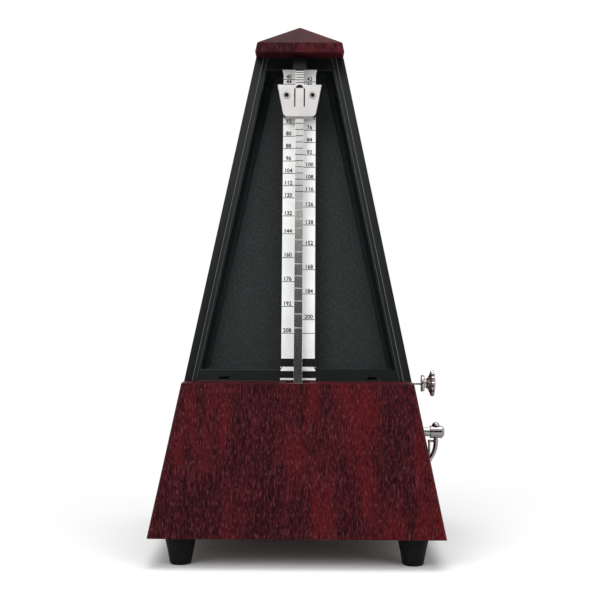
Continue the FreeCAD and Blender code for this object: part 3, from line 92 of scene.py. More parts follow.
# ---------------------------------------------------------------- shader expressions
class Wire:
    """An output socket that takes part in Python sums, adding Math nodes as it goes."""

    def __init__(self, shader: "Shader", socket: bpy.types.NodeSocket) -> None:
        """Wrap one socket of one shader."""
        self.shader = shader
        self.socket = socket

    def _math(self, operation: str, first: Any, second: Any, clamp: bool = False) -> "Wire":
        """Add one Math node on wires or numbers, and clamp its result where asked."""
        settings = {"operation": operation, "use_clamp": clamp}
        return self.shader.wire("ShaderNodeMath", settings, {0: first, 1: second})

    def __add__(self, other: Union["Wire", float]) -> "Wire":
        """Add a wire or a number."""
        return self._math("ADD", self, other)

    def __radd__(self, other: float) -> "Wire":
        """Add to a number."""
        return self._math("ADD", other, self)

    def __sub__(self, other: Union["Wire", float]) -> "Wire":
        """Subtract a wire or a number."""
        return self._math("SUBTRACT", self, other)

    def __rsub__(self, other: float) -> "Wire":
        """Subtract from a number."""
        return self._math("SUBTRACT", other, self)

    def __mul__(self, other: Union["Wire", float]) -> "Wire":
        """Multiply by a wire or a number."""
        return self._math("MULTIPLY", self, other)

    def __rmul__(self, other: float) -> "Wire":
        """Multiply a number."""
        return self._math("MULTIPLY", other, self)

    def absolute(self) -> "Wire":
        """Drop the sign of the value."""
        return self._math("ABSOLUTE", self, 0.0)

    def clamped(self) -> "Wire":
        """Keep the value between 0 and 1."""
        return self._math("ADD", self, 0.0, clamp=True)


class NodeTree:
    """A tree of nodes that are added by type."""

    def __init__(self, tree: bpy.types.NodeTree) -> None:
        """Hold the tree."""
        self.tree = tree

    def node(self, kind: str, settings: Optional[dict[str, Any]] = None,
             inputs: Values = None) -> bpy.types.Node:
        """Add a node.

        Args:
            kind: the node's type.
            settings: properties, set first.
            inputs: numbers, colours, wires or output sockets, by the socket's name or place.

        Returns:
            The new node.
        """
        made = self.tree.nodes.new(kind)
        for key, value in (settings or {}).items():
            setattr(made, key, value)
        for key, value in (inputs or {}).items():
            source = value.socket if isinstance(value, Wire) else value
            if isinstance(source, bpy.types.NodeSocket):
                self.tree.links.new(source, made.inputs[key])
            else:
                made.inputs[key].default_value = source
        return made


class Shader(NodeTree):
    """The node tree of one material or of the world."""

    def __init__(self, owner: Union[bpy.types.Material, bpy.types.World]) -> None:
        """Empty the owner's tree.

        Args:
            owner: the material or world that the tree belongs to.
        """
        owner.use_nodes = True
        super().__init__(owner.node_tree)
        self.tree.nodes.clear()

    def wire(self, kind: str, settings: Optional[dict[str, Any]] = None, inputs: Values = None,
             output: Union[str, int] = 0) -> Wire:
        """Add a node as node() does, and take the output of this name or place."""
        return Wire(self, self.node(kind, settings, inputs).outputs[output])

    def place(self, stretch: Point = (1.0, 1.0, 1.0)) -> Wire:
        """Read Object coordinates, scaled along each axis, as the point that a pattern reads."""
        here = self.wire("ShaderNodeTexCoord", output="Object")
        return self.wire("ShaderNodeMapping", {"vector_type": "POINT"}, {"Vector": here, "Scale": stretch})

    def noise(self, place: Wire, scale: float, detail: float = 2.0, rough: float = 0.5) -> Wire:
        """Read a noise between 0 and 1: its lumps to a metre, its finer layers and their strength."""
        return self.wire("ShaderNodeTexNoise", None, {
            "Vector": place, "Scale": scale, "Detail": detail, "Roughness": rough})

    def step(self, value: Wire, low: float, high: float) -> Wire:
        """Rise smoothly from 0 to 1 as a value goes from low to high."""
        return self.wire("ShaderNodeMapRange", {"interpolation_type": "SMOOTHSTEP"},
                         {"Value": value, "From Min": low, "From Max": high})

    def blend(self, share: Wire, first: Union[Wire, Colour], second: Union[Wire, Colour]) -> Wire:
        """Mix two colours: the first where the share is 0, and the second where it is 1."""
        return self.wire("ShaderNodeMix", {"data_type": "RGBA"}, {0: share, 6: first, 7: second}, 2)

    def bump(self, height: Wire, strength: float, depth: float) -> Wire:
        """Turn a height between 0 and 1 into a normal. A height of 1 is as deep as depth."""
        return self.wire("ShaderNodeBump", None, {"Strength": strength, "Distance": depth, "Height": height})

    def surface(self, **sockets: Any) -> None:
        """Finish a material with a Principled shader.

        Args:
            sockets: values or wires, by the socket's name with _ for each space.
        """
        inputs = {name.replace("_", " "): value for name, value in sockets.items()}
        self.finish(self.wire("ShaderNodeBsdfPrincipled", None, inputs))

    def finish(self, shader: Wire, kind: str = "ShaderNodeOutputMaterial") -> None:
        """Join a shader to the tree's output."""
        self.node(kind, None, {"Surface": shader})


# ---------------------------------------------------------------- finishes
class Grain(Enum):
    """The way that a metal surface was worked, as the stretch of its fine marks."""

    TURNED = (0.08, 1.0, 1.0)
    DRAWN_ALONG_X = (0.03, 1.0, 1.0)
    DRAWN_UPWARDS = (1.0, 1.0, 0.03)
    CAST = (1.0, 1.0, 1.0)


@dataclass(frozen=True)
class Coating:
    """A named finish, whose kinds add their own nodes."""

    name: str

    def material(self) -> bpy.types.Material:
        """Build the finish's material.

        Returns:
            The material.
        """
        made = bpy.data.materials.new(self.name)
        self.paint(Shader(made))
        return made

    def paint(self, shader: Shader) -> None:
        """Add the finish's nodes to an empty tree."""
        raise NotImplementedError


@dataclass(frozen=True)
class Metal(Coating):
    """A bare or plated metal, with fine working marks and a faint change of tone."""

    bright: str
    shaded: str
    roughness: float
    grain: Grain
    marks: float = 0.12
    mark_scale: float = 4200.0
    cloud_scale: float = 90.0
    tones_at: tuple[float, float] = (0.32, 0.68)

    def paint(self, shader: Shader) -> None:
        """Add the metal's nodes.

        Args:
            shader: the material's empty tree.
        """
        fine = shader.noise(shader.place(self.grain.value), self.mark_scale, 3.0, 0.6)
        cloud = shader.noise(shader.place(), self.cloud_scale, 3.0)
        tone = shader.step(cloud * 0.75 + fine * 0.25, *self.tones_at)
        shader.surface(
            Base_Color=shader.blend(tone, srgb(self.shaded), srgb(self.bright)),
            Metallic=1.0,
            Roughness=(self.roughness - 0.04) + cloud * 0.06 + fine * 0.06,
            Normal=shader.bump(fine, self.marks, mm(0.02)))


@dataclass(frozen=True)
class Mahogany(Coating):
    """Stained and lacquered mahogany, its grain running up the case.

    Each layer of the grain has its shrinking upwards, its scale, its detail and its roughness.
    """

    name: str = "mahogany_lacquered"
    dark: str = "1e0408"
    middle: str = "411217"
    red: str = "4f0d11"
    fleck: str = "6a373d"
    lacquer: float = 0.02
    layers: tuple[tuple[float, float, float, float], ...] = (
        (0.12, 42.0, 2.0, 0.5), (0.02, 130.0, 2.0, 0.5), (0.014, 1300.0, 2.0, 0.6), (0.018, 2500.0, 1.0, 0.5))

    def paint(self, shader: Shader) -> None:
        """Add the wood's nodes.

        Args:
            shader: the material's empty tree.
        """
        board, ribbon, fibre, streak = (
            shader.noise(shader.place((1.0, 1.0, run)), scale, detail, rough)
            for run, scale, detail, rough in self.layers)
        tone = shader.step(board * 0.2 + ribbon * 0.2 + fibre * 0.6, 0.38, 0.62)
        wood = shader.blend(tone, srgb(self.dark), srgb(self.middle))
        wood = shader.blend(shader.step(ribbon * 0.5 + board * 0.5, 0.47, 0.62) * 0.7, wood, srgb(self.red))
        wood = shader.blend(shader.step(streak, 0.54, 0.76) * 0.55, wood, srgb(self.fleck))
        wood = shader.blend(shader.step(streak, 0.26, 0.44), srgb(self.dark), wood)
        shader.surface(
            Base_Color=wood,
            Roughness=0.40 + fibre * 0.2,
            Specular_IOR_Level=0.06,
            Coat_Weight=self.lacquer,
            Coat_Roughness=0.22,
            Normal=shader.bump(fibre * 0.6 + streak * 0.4, 0.16, mm(0.10)))


@dataclass(frozen=True)
class MouldedPlastic(Coating):
    """Black moulded plastic: plain satin rails with painted highlight lines along the flange's rib edges, and
    a leather grain on the floor of a recess.
    """

    name: str = "black_moulding"
    rail: str = "0f1112"
    panel: str = "121516"
    worn: str = "1f2426"
    # painted highlight: the colour of the two light lines along the flange's rib edges
    painted_rib_highlight: str = "5d6263"
    panel_depth: float = mm(16.0)
    rib_insets: tuple[float, float] = (mm(3.3), mm(5.0))
    rib_highlight_width: float = mm(0.2)
    far_highlight_share: float = 0.6
    pebble_scale: float = 1500.0
    sand_scale: float = 2600.0
    cloud_scale: float = 130.0

    def paint(self, shader: Shader) -> None:
        """Add the plastic's nodes. The recess floor is told by its depth under the front.

        Args:
            shader: the material's empty tree.
        """
        here = shader.wire("ShaderNodeTexCoord", output="Object")
        apart = shader.node("ShaderNodeSeparateXYZ", None, {"Vector": here})
        x, y, up = (Wire(shader, apart.outputs[axis]) for axis in "XYZ")
        depth = (y + FRONT.foot) * math.cos(FRONT.lean) - up * math.sin(FRONT.lean)
        floor = shader.step(depth, self.panel_depth, self.panel_depth + mm(1.0))
        # Painted highlights: two light lines along the rib edges of the flange, standing in for the light
        # that the rib's rounded edges catch; the far edge's line is fainter.
        side = FRONT.half_foot - up * math.tan(FRONT.lean) - x.absolute()
        near, far = (1.0 - shader.step((side - inset).absolute(), self.rib_highlight_width * 0.5, self.rib_highlight_width)
                     for inset in self.rib_insets)
        rib_highlight_mask = (near + far * self.far_highlight_share) * (1.0 - floor)
        pebble = shader.wire("ShaderNodeTexVoronoi", {"feature": "F1"},
                             {"Vector": here, "Scale": self.pebble_scale})
        sand = shader.noise(shader.place(), self.sand_scale, 2.0, 0.6)
        cloud = shader.noise(shader.place((1.0, 1.0, 0.25)), self.cloud_scale, 3.0)
        hide = pebble * 0.7 + sand * 0.5
        tone = shader.blend(shader.step(cloud, 0.35, 0.7), srgb(self.rail), srgb(self.panel))
        # lay the painted highlight lines over the rails
        tone = shader.blend(rib_highlight_mask * 0.8, tone, srgb(self.painted_rib_highlight))
        speck = shader.blend(shader.step(hide, 0.45, 0.85), tone, srgb(self.worn))
        shader.surface(
            Base_Color=shader.blend(floor, tone, speck),
            Roughness=0.30 + floor * 0.32 + sand * 0.06,
            Specular_IOR_Level=0.25,
            Normal=shader.bump(hide * floor + sand * 0.05, 0.35, mm(0.12)))


@dataclass(frozen=True)
class Matt(Coating):
    """A dull finish in two tones, both tone and roughness following one noise.

    Roughness is given as its least value and its rise, and relief as its strength and depth.
    """

    first: str
    second: str
    scale: float
    detail: float
    rough: float
    tones_at: tuple[float, float]
    roughness: tuple[float, float]
    specular: float = 0.5
    relief: Optional[tuple[float, float]] = None
    stretch: Point = (1.0, 1.0, 1.0)

    def paint(self, shader: Shader) -> None:
        """Add the finish's nodes.

        Args:
            shader: the material's empty tree.
        """
        dust = shader.noise(shader.place(self.stretch), self.scale, self.detail, self.rough)
        least, rise = self.roughness
        bumped = {"Normal": shader.bump(dust, *self.relief)} if self.relief else {}
        shader.surface(
            Base_Color=shader.blend(shader.step(dust, *self.tones_at), srgb(self.first), srgb(self.second)),
            Roughness=least + dust * rise,
            Specular_IOR_Level=self.specular,
            **bumped)


@dataclass(frozen=True)
class SilverPlate(Coating):
    """Silver-white satin plate that the tempo marks are printed on."""

    name: str = "silver_white_plate"
    light: str = "e9e9e8"
    shade: str = "dcdddd"
    brush_scale: float = 2600.0
    cloud_scale: float = 110.0

    def paint(self, shader: Shader) -> None:
        """Add the plate's nodes.

        Args:
            shader: the material's empty tree.
        """
        fine = shader.noise(shader.place((0.4, 1.0, 1.0)), self.brush_scale, 2.0, 0.6)
        cloud = shader.noise(shader.place(), self.cloud_scale, 2.0)
        shader.surface(
            Base_Color=shader.blend(shader.step(fine * 0.4 + cloud * 0.6, 0.35, 0.65),
                                    srgb(self.shade), srgb(self.light)),
            Metallic=0.15,
            Roughness=0.42 + fine * 0.08,
            Normal=shader.bump(fine, 0.04, mm(0.02)))


class Finish(Enum):
    """Every finish on the metronome."""

    WOOD = Mahogany()
    PLASTIC = MouldedPlastic()
    RUBBER = Matt("soft_rubber", "060707", "101212", 420.0, 4.0, 0.6, tones_at=(0.4, 0.75),
                  roughness=(0.62, 0.2), specular=0.15, relief=(0.1, mm(0.05)))
    PLATE = SilverPlate()
    INK = Matt("black_ink", "0a0a0b", "1a1b1c", 1800.0, 3.0, 0.5, tones_at=(0.4, 0.75),
               roughness=(0.5, 0.12), specular=0.12)
    BOARD = Matt("plain_board", "3a2a20", "55402f", 900.0, 3.0, 0.6, tones_at=(0.35, 0.65),
                 roughness=(0.6, 0.2), relief=(0.2, mm(0.1)), stretch=(0.06, 1.0, 1.0))
    ROD_STEEL = Metal("rod_steel", "e2e0de", "cfcdcb", 0.15, Grain.DRAWN_UPWARDS, 0.03)
    WEIGHT_STEEL = Metal("satin_weight", "d2cfce", "c8c5c4", 0.34, Grain.CAST, 0.06)
    TURNED_STEEL = Metal("turned_steel", "c4c4c4", "a8a9aa", 0.26, Grain.TURNED)
    NICKEL = Metal("nickel_plate", "a7a2a1", "837e7d", 0.16, Grain.TURNED, 0.05)
    KNOB_NICKEL = Metal("knob_nickel", "bdb5b3", "968e8c", 0.16, Grain.CAST, 0.05)
    BRASS = Metal("lacquered_brass", "d9b469", "bd9449", 0.27, Grain.DRAWN_UPWARDS)
    WHEEL_BRASS = Metal("wheel_brass", "e0bd72", "c39c50", 0.22, Grain.TURNED)
    BELL = Metal("bell_metal", "dcc48c", "c5aa70", 0.16, Grain.TURNED, 0.05)
    DARK_IRON = Metal("dark_iron", "5b5957", "403f3e", 0.48, Grain.CAST, 0.3)
    SPRING_STEEL = Metal("blued_spring", "7d828f", "585d6b", 0.26, Grain.DRAWN_ALONG_X)


class FinishShop:
    """Makes each finish once and hands out its material."""

    def __init__(self) -> None:
        """Start with nothing made."""
        self._made: dict[Finish, bpy.types.Material] = {}

    def get(self, finish: Finish) -> bpy.types.Material:
        """Return a finish's material, building it the first time.

        Args:
            finish: the finish.

        Returns:
            Its material.
        """
        if finish not in self._made:
            self._made[finish] = finish.value.material()
        return self._made[finish]


# ---------------------------------------------------------------- the sloping front
def joint(name: str) -> dict[str, Any]:
    """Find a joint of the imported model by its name."""
    return next(row for row in frame["joints"] if row["name"] == name)


@dataclass(frozen=True)
class FrontPlane:
    """The plane of the case's sloping front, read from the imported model."""

    lean: float
    foot: float
    half_foot: float

    @classmethod
    def read(cls) -> "FrontPlane":
        """Find the lean from the pendulum's axle, and the feet of front and sides from the case.

        Returns:
            The plane.
        """
        lean = math.asin(joint("pendulum_swing")["axis"][2])
        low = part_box("case_body")[0]
        rise = math.tan(lean) * low.z
        return cls(lean, -low.y + rise, -low.x + rise)

    def matrix(self) -> Matrix:
        """Turn (x, up the slope, out of the plane) into the model's frame."""
        s, c = math.sin(self.lean), math.cos(self.lean)
        return Matrix(((1, 0, 0, 0), (0, s, -c, -self.foot), (0, c, s, 0), (0, 0, 0, 1)))

    def local(self, point: Vector) -> Vector:
        """Turn a point of the model's frame into (x, up the slope, out of the plane)."""
        return self.matrix().inverted() @ point

    def local_box(self, node: str) -> tuple[Vector, Vector]:
        """Find a CAD node's lowest and highest (x, up, out) on the slope.

        Args:
            node: the node's name.

        Returns:
            Its low and high corners in the slope's own axes.
        """
        back = self.matrix().inverted()
        points = [back @ v.co for v in frame["nodes"][node].data.vertices]
        low = Vector([min(p[k] for p in points) for k in range(3)])
        high = Vector([max(p[k] for p in points) for k in range(3)])
        return low, high


FRONT = FrontPlane.read()


# ---------------------------------------------------------------- mesh helpers
def new_object(name: str, data: bpy.types.ID) -> bpy.types.Object:
    """Put a mesh, lamp, camera or text in the scene as an object at the origin.

    Args:
        name: the object's name.
        data: what it shows.

    Returns:
        The object.
    """
    made = bpy.data.objects.new(name, data)
    bpy.context.scene.collection.objects.link(made)
    return made


def from_bmesh(name: str, shape: bmesh.types.BMesh) -> bpy.types.Object:
    """Turn a bmesh into an object, and free the bmesh.

    Args:
        name: the object's name.
        shape: the bmesh.

    Returns:
        The object.
    """
    mesh = bpy.data.meshes.new(name)
    shape.to_mesh(mesh)
    shape.free()
    return new_object(name, mesh)


def on_front(name: str, shape: bmesh.types.BMesh) -> bpy.types.Object:
    """Turn a bmesh in the slope's own axes into an object in the model's frame.

    Args:
        name: the object's name.
        shape: the bmesh.

    Returns:
        The object.
    """
    piece = from_bmesh(name, shape)
    piece.data.transform(FRONT.matrix())
    return piece


def smooth_between_edges(mesh: bpy.types.Mesh, sharp_above: float) -> None:
    """Shade a mesh smooth, except across edges that turn by more than an angle in degrees."""
    mesh.shade_smooth()
    mesh.set_sharp_from_angle(angle=math.radians(sharp_above))


def shown_mesh(piece: bpy.types.Object) -> bpy.types.Mesh:
    """Copy an object's evaluated mesh."""
    return bpy.data.meshes.new_from_object(piece.evaluated_get(bpy.context.evaluated_depsgraph_get()))


def settle(piece: bpy.types.Object) -> None:
    """Replace an object's mesh by its evaluated one, and use up its modifiers.

    Args:
        piece: the object.
    """
    mesh = shown_mesh(piece)
    piece.modifiers.clear()
    old = piece.data
    piece.data = mesh
    bpy.data.meshes.remove(old)
    mesh.name = piece.name


def merged_copy(node: str) -> bmesh.types.BMesh:
    """Copy a CAD node's mesh with its doubles merged and its flat faces whole.

    Args:
        node: the node's name.

    Returns:
        The copy.
    """
    shape = bmesh.new()
    shape.from_mesh(frame["nodes"][node].data)
    bmesh.ops.remove_doubles(shape, verts=shape.verts, dist=mm(0.001))
    bmesh.ops.dissolve_limit(shape, angle_limit=math.radians(0.5), verts=shape.verts, edges=shape.edges)
    return shape


def turn_of(edge: bmesh.types.BMEdge) -> float:
    """Return the turn across an edge in degrees, or 0 where it doesn't join two faces."""
    return math.degrees(edge.calc_face_angle(0.0)) if len(edge.link_faces) == 2 else 0.0


def softened(node: str, name: str, width: float, weigh: Callable[[bmesh.types.BMEdge], float],
             segments: int = 3, sharp_above: float = 20.0) -> bpy.types.Object:
    """Copy a CAD node and round the edges that a function picks.

    Args:
        node: the CAD node to copy.
        name: the new object's name.
        width: the rounding of an edge whose weight is 1.
        weigh: gives each sharp edge its weight, from 0 to 1.
        segments: faces across the rounding.
        sharp_above: turn between two faces, in degrees, past which their edge stays sharp.

    Returns:
        The rounded copy.
    """
    shape = merged_copy(node)
    layer = shape.edges.layers.float.new("bevel_weight_edge")
    for edge in shape.edges:
        edge[layer] = weigh(edge) if turn_of(edge) > LEAST_TURN else 0.0
    piece = from_bmesh(name, shape)
    smooth_between_edges(piece.data, sharp_above)
    bevel = piece.modifiers.new("rounding", "BEVEL")
    bevel.limit_method = "WEIGHT"
    bevel.width = width
    bevel.segments = segments
    bevel.harden_normals = True
    settle(piece)
    return piece


def long_edge(least: float) -> Callable[[bmesh.types.BMEdge], float]:
    """Return a weigher that picks the edges of at least this length."""
    return lambda edge: 1.0 if edge.calc_length() >= least else 0.0


def arc(centre: tuple[float, float], radius: float, start: float, end: float,
        steps: int) -> list[tuple[float, float]]:
    """Points along a round stretch of an outline.

    Args:
        centre: the arc's centre.
        radius: its radius.
        start: its first angle in degrees.
        end: its last angle in degrees.
        steps: the chords along it.

    Returns:
        One more point than steps.
    """
    angles = [math.radians(start + (end - start) * k / steps) for k in range(steps + 1)]
    return [(centre[0] + radius * math.cos(a), centre[1] + radius * math.sin(a)) for a in angles]


def lathe(profile: Outline, segments: int, axis: Matrix,
          swell: Optional[Callable[[float, float], float]] = None) -> bmesh.types.BMesh:
    """Turn a closed outline into a ring, or an open one into a solid with flat ends.

    Args:
        profile: (along, radius) points. It is closed where its first and last points are the same.
        segments: faces round the axis.
        axis: places the shape, whose own axis is Z.
        swell: gives a factor on the radius from the place along and the angle.

    Returns:
        The turned shape.
    """
    ring_shaped = profile[0] == profile[-1]
    points = list(profile[:-1] if ring_shaped else profile)
    shape = bmesh.new()
    rings = []
    for along, radius in points:
        ring = []
        for k in range(segments):
            angle = 2 * math.pi * k / segments
            reach = radius * (swell(along, angle) if swell else 1.0)
            corner = Vector((reach * math.cos(angle), reach * math.sin(angle), along))
            ring.append(shape.verts.new(axis @ corner))
        rings.append(ring)
    pairs = list(zip(rings, rings[1:] + rings[:1])) if ring_shaped else list(zip(rings, rings[1:]))
    for near, far in pairs:
        for k in range(segments):
            after = (k + 1) % segments
            shape.faces.new((near[k], near[after], far[after], far[k]))
    if not ring_shaped:
        shape.faces.new(rings[0])
        shape.faces.new(rings[-1])
    bmesh.ops.recalc_face_normals(shape, faces=shape.faces)
    return shape


def prisms(outlines: Iterable[Outline], low: float, high: float) -> bmesh.types.BMesh:
    """Flat solids with (x, up) outlines, between two heights out of the front.

    Args:
        outlines: each solid's corners, in order.
        low: the height of their backs.
        high: the height of their faces.

    Returns:
        One bmesh that holds them all.
    """
    shape = bmesh.new()
    for outline in outlines:
        back = [shape.verts.new((x, up, low)) for x, up in outline]
        face = [shape.verts.new((x, up, high)) for x, up in outline]
        shape.faces.new(face)
        shape.faces.new(back[::-1])
        for k in range(len(outline)):
            after = (k + 1) % len(outline)
            shape.faces.new((back[k], back[after], face[after], face[k]))
    bmesh.ops.recalc_face_normals(shape, faces=shape.faces)
    return shape


# ---------------------------------------------------------------- geometry node trees
class PatternTree(NodeTree):
    """A Geometry Nodes tree that ends in Realize Instances and Set Material."""

    def __init__(self, name: str) -> None:
        """Start a tree with a geometry input and output.

        Args:
            name: the tree's name.
        """
        super().__init__(bpy.data.node_groups.new(name, "GeometryNodeTree"))
        for side in ("OUTPUT", "INPUT"):
            self.tree.interface.new_socket("Geometry", in_out=side, socket_type="NodeSocketGeometry")
        self.identifiers: dict[str, str] = {}
        self.start: Optional[bpy.types.Node] = None

    def declare(self, **kinds: str) -> None:
        """Add the named inputs, then the node that reads them.

        Args:
            kinds: each input's socket type, by name with _ for each space.
        """
        for key, kind in {**kinds, "Material": "NodeSocketMaterial"}.items():
            made = self.tree.interface.new_socket(key.replace("_", " "), in_out="INPUT", socket_type=kind)
            self.identifiers[key] = made.identifier
        self.start = self.tree.nodes.new("NodeGroupInput")

    def read(self, key: str) -> bpy.types.NodeSocket:
        """Return the socket of a named input."""
        return self.start.outputs[key.replace("_", " ")]

    def close(self, places: bpy.types.Node, shape: bpy.types.Node) -> None:
        """End the tree: a shape at each place, made real and given the material.

        Args:
            places: the node that gives the points.
            shape: the node that gives the shape.
        """
        copies = self.node("GeometryNodeInstanceOnPoints", None,
                           {"Points": places.outputs[0], "Instance": shape.outputs[0]})
        real = self.node("GeometryNodeRealizeInstances", None, {"Geometry": copies.outputs[0]})
        coated = self.node("GeometryNodeSetMaterial", None,
                           {"Geometry": real.outputs[0], "Material": self.read("Material")})
        self.node("NodeGroupOutput", None, {"Geometry": coated.outputs[0]})

    def run(self, piece: bpy.types.Object, values: dict[str, Any]) -> None:
        """Run the tree on an object and keep the result as its plain mesh.

        Args:
            piece: the object that the tree starts from.
            values: each input's value, by the name that declare() took.
        """
        modifier = piece.modifiers.new("pattern", "NODES")
        modifier.node_group = self.tree
        for key, value in values.items():
            modifier[self.identifiers[key]] = value
        settle(piece)


def bars_on_points() -> PatternTree:
    """Tree that stands a bar on each point of a mesh.

    Returns:
        The tree.
    """
    made = PatternTree("bars_on_points")
    made.declare(Bar_Size="NodeSocketVector")
    bar = made.node("GeometryNodeMeshCube", None, {"Size": made.read("Bar_Size")})
    places = made.node("GeometryNodeMeshToPoints", None, {"Mesh": made.read("Geometry")})
    made.close(places, bar)
    return made


def beads_on_ring() -> PatternTree:
    """Tree that stands round beads on a ring about Z.

    Returns:
        The tree.
    """
    made = PatternTree("beads_on_ring")
    made.declare(Count="NodeSocketInt", Ring_Radius="NodeSocketFloat", Bead_Radius="NodeSocketFloat")
    ring = made.node("GeometryNodeMeshCircle", None,
                     {"Vertices": made.read("Count"), "Radius": made.read("Ring_Radius")})
    bead = made.node("GeometryNodeMeshIcoSphere", None,
                     {"Radius": made.read("Bead_Radius"), "Subdivisions": 3})
    made.close(ring, bead)
    return made


def bars_on_front(name: str, places: Iterable[Point], size: Point,
                  material: bpy.types.Material) -> bpy.types.Object:
    """Stand a bar on each place of the sloping front.

    Args:
        name: the new object's name.
        places: the bars' middles, as (x, up, out).
        size: one bar's size in the same order.
        material: their material.

    Returns:
        The bars as one object.
    """
    shape = bmesh.new()
    for place in places:
        shape.verts.new(place)
    piece = from_bmesh(name, shape)
    bars_on_points().run(piece, {"Bar_Size": size, "Material": material})
    piece.data.transform(FRONT.matrix())
    return piece


# ---------------------------------------------------------------- sub-assemblies
@dataclass
class SubAssembly:
    """Part of the metronome: the pieces it makes, and the CAD nodes it dresses."""

    shop: FinishShop
    body: str = "case"
    pieces: list[bpy.types.Object] = field(default_factory=list)

    def dress(self, finish: Finish, *nodes: str) -> None:
        """Give CAD nodes a finish.

        Args:
            finish: the finish.
            nodes: the nodes' names.
        """
        for name in nodes:
            for slot in frame["nodes"][name].material_slots:
                slot.material = self.shop.get(finish)

    def keep(self, piece: bpy.types.Object, finish: Finish, slot: str, *nodes: str) -> None:
        """Coat a new piece, tie it to the body and let it stand for CAD nodes.

        Args:
            piece: the finished object.
            finish: its finish.
            slot: the record's material slot that it belongs to; not used.
            nodes: the CAD nodes that it stands for.
        """
        piece.data.materials.clear()
        piece.data.materials.append(self.shop.get(finish))
        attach(piece, self.body)
        if nodes:
            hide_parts(*nodes)
        self.pieces.append(piece)


@dataclass
class Case(SubAssembly):
    """The wooden case, its cap, its bottom board and its feet."""

    corner: float = mm(1.1)
    seam_share: float = 0.3
    skin: float = mm(0.05)
    shortest: float = mm(3.0)
    level_within: float = mm(0.01)
    cut_behind: float = mm(13.4)
    cut_below: float = mm(5.0)
    cap_corner: float = mm(0.5)
    foot_rounding: float = mm(0.8)
    foot_tip: float = mm(4.25)
    foot_waist: tuple[float, float] = (0.45, 0.40)
    foot_well: tuple[float, float, float] = (mm(2.6), mm(1.25), mm(4.0))
    foot_segments: int = 96

    def outer_edge(self, edge: bmesh.types.BMEdge) -> float:
        """Weigh an edge of the case: full on its outside, little where the cap and board meet it.

        Args:
            edge: the edge.

        Returns:
            The share of the full rounding.
        """
        taper = math.tan(FRONT.lean)
        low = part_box("case_body")[0]
        ends = [vert.co for vert in edge.verts]
        outside = all(max(abs(p.x), abs(p.y)) > -low.x - taper * (p.z - low.z) - self.skin for p in ends)
        if not outside or edge.calc_length() < self.shortest:
            return 0.0
        if abs(ends[0].z - ends[1].z) < self.level_within:
            return self.seam_share
        across = all(p.y > self.cut_behind - FRONT.foot + taper * p.z for p in ends)
        return self.seam_share if across and self.cut_face(edge) else 1.0

    def cut_face(self, edge: bmesh.types.BMEdge) -> bool:
        """Tell whether an edge borders the face that the black frame lies against.

        Args:
            edge: the edge.

        Returns:
            True where it does.
        """
        out = FRONT.matrix().to_3x3() @ Vector((0, 0, 1))
        return any(face.normal.dot(out) > 0.99
                   and FRONT.local(face.calc_center_median()).z < -self.cut_below
                   for face in edge.link_faces)

    def build(self) -> None:
        """Make and dress the case's pieces."""
        shell = softened("case_body", "case_shell", self.corner, self.outer_edge)
        self.keep(shell, Finish.WOOD, "mahogany", "case_body")
        roof = softened("cap", "roof_cap", self.cap_corner, long_edge(mm(4.0)))
        self.keep(roof, Finish.WOOD, "mahogany", "cap")
        for place in ("front_left", "front_right", "rear_left", "rear_right"):
            self.keep(self.foot(place), Finish.RUBBER, "black_rubber", f"foot_{place}")
        self.dress(Finish.BOARD, "bottom_plate")
        self.dress(Finish.TURNED_STEEL, "cap_screws", "foot_screws")

    def foot(self, place: str) -> bpy.types.Object:
        """Turn one rubber foot, with rounded rims and its screw's well.

        Args:
            place: the foot's corner, as its CAD node names it.

        Returns:
            The foot.
        """
        low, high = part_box(f"foot_{place}")
        middle = Vector(((low.x + high.x) / 2, (low.y + high.y) / 2, 0.0))
        top_r, tip_r, tall = (high.x - low.x) / 2, self.foot_tip, high.z - low.z
        well_r, hole_r, well = self.foot_well
        r = self.foot_rounding
        waist_up, waist_out = self.foot_waist
        outline = [(well, hole_r), (well, well_r), (0.0, well_r), (0.0, tip_r - r)]
        outline += arc((r, tip_r - r), r, 180.0, 100.0, 6)[1:]
        outline += [(tall * waist_up, tip_r + (top_r - tip_r) * waist_out)]
        outline += arc((tall - r / 2, top_r - r / 2), r / 2, 95.0, 0.0, 4)
        outline += [(tall, hole_r), (well, hole_r)]
        shape = lathe(outline, self.foot_segments, Matrix.Translation(middle))
        piece = from_bmesh(f"rubber_foot_{place}", shape)
        smooth_between_edges(piece.data, 25.0)
        return piece


@dataclass
class BlackFrame(SubAssembly):
    """The black moulding inside the front, with the hook that holds the rod's tip."""

    moulded_edge: float = mm(0.22)
    hook_edge: float = mm(0.16)

    def build(self) -> None:
        """Make the frame's pieces."""
        insert = softened("inner_frame", "black_frame", self.moulded_edge, long_edge(mm(3.0)),
                          sharp_above=3.0)
        self.keep(insert, Finish.PLASTIC, "black_plastic", "inner_frame")
        hook = softened("rod_rest", "rod_hook", self.hook_edge, long_edge(mm(0.5)))
        self.keep(hook, Finish.PLASTIC, "black_plastic", "rod_rest")


@dataclass(frozen=True)
class TempoMarks:
    """Where the tempo marks stand, from the balance of a pendulum with two weights."""

    gain: float = 2.63328e-7
    inertia_mm: float = 9880.48
    balance_mm: float = 145.763

    def tempos(self) -> list[int]:
        """List the beats per minute that have a mark, in the usual steps."""
        steps = ((40, 60, 2), (60, 72, 3), (72, 120, 4), (120, 144, 6), (144, 209, 8))
        return [tempo for start, stop, step in steps for tempo in range(start, stop, step)]

    def up(self, tempo: int) -> float:
        """Find a mark's distance up the slope.

        Args:
            tempo: beats per minute.

        Returns:
            The distance up the slope.
        """
        pivot = FRONT.local(Vector(joint("pendulum_swing")["pos_m"]))
        a = self.gain * tempo ** 2
        root = math.sqrt(1 - 4 * a * (a * self.inertia_mm - self.balance_mm))
        return pivot.y + mm((root - 1) / (2 * a))


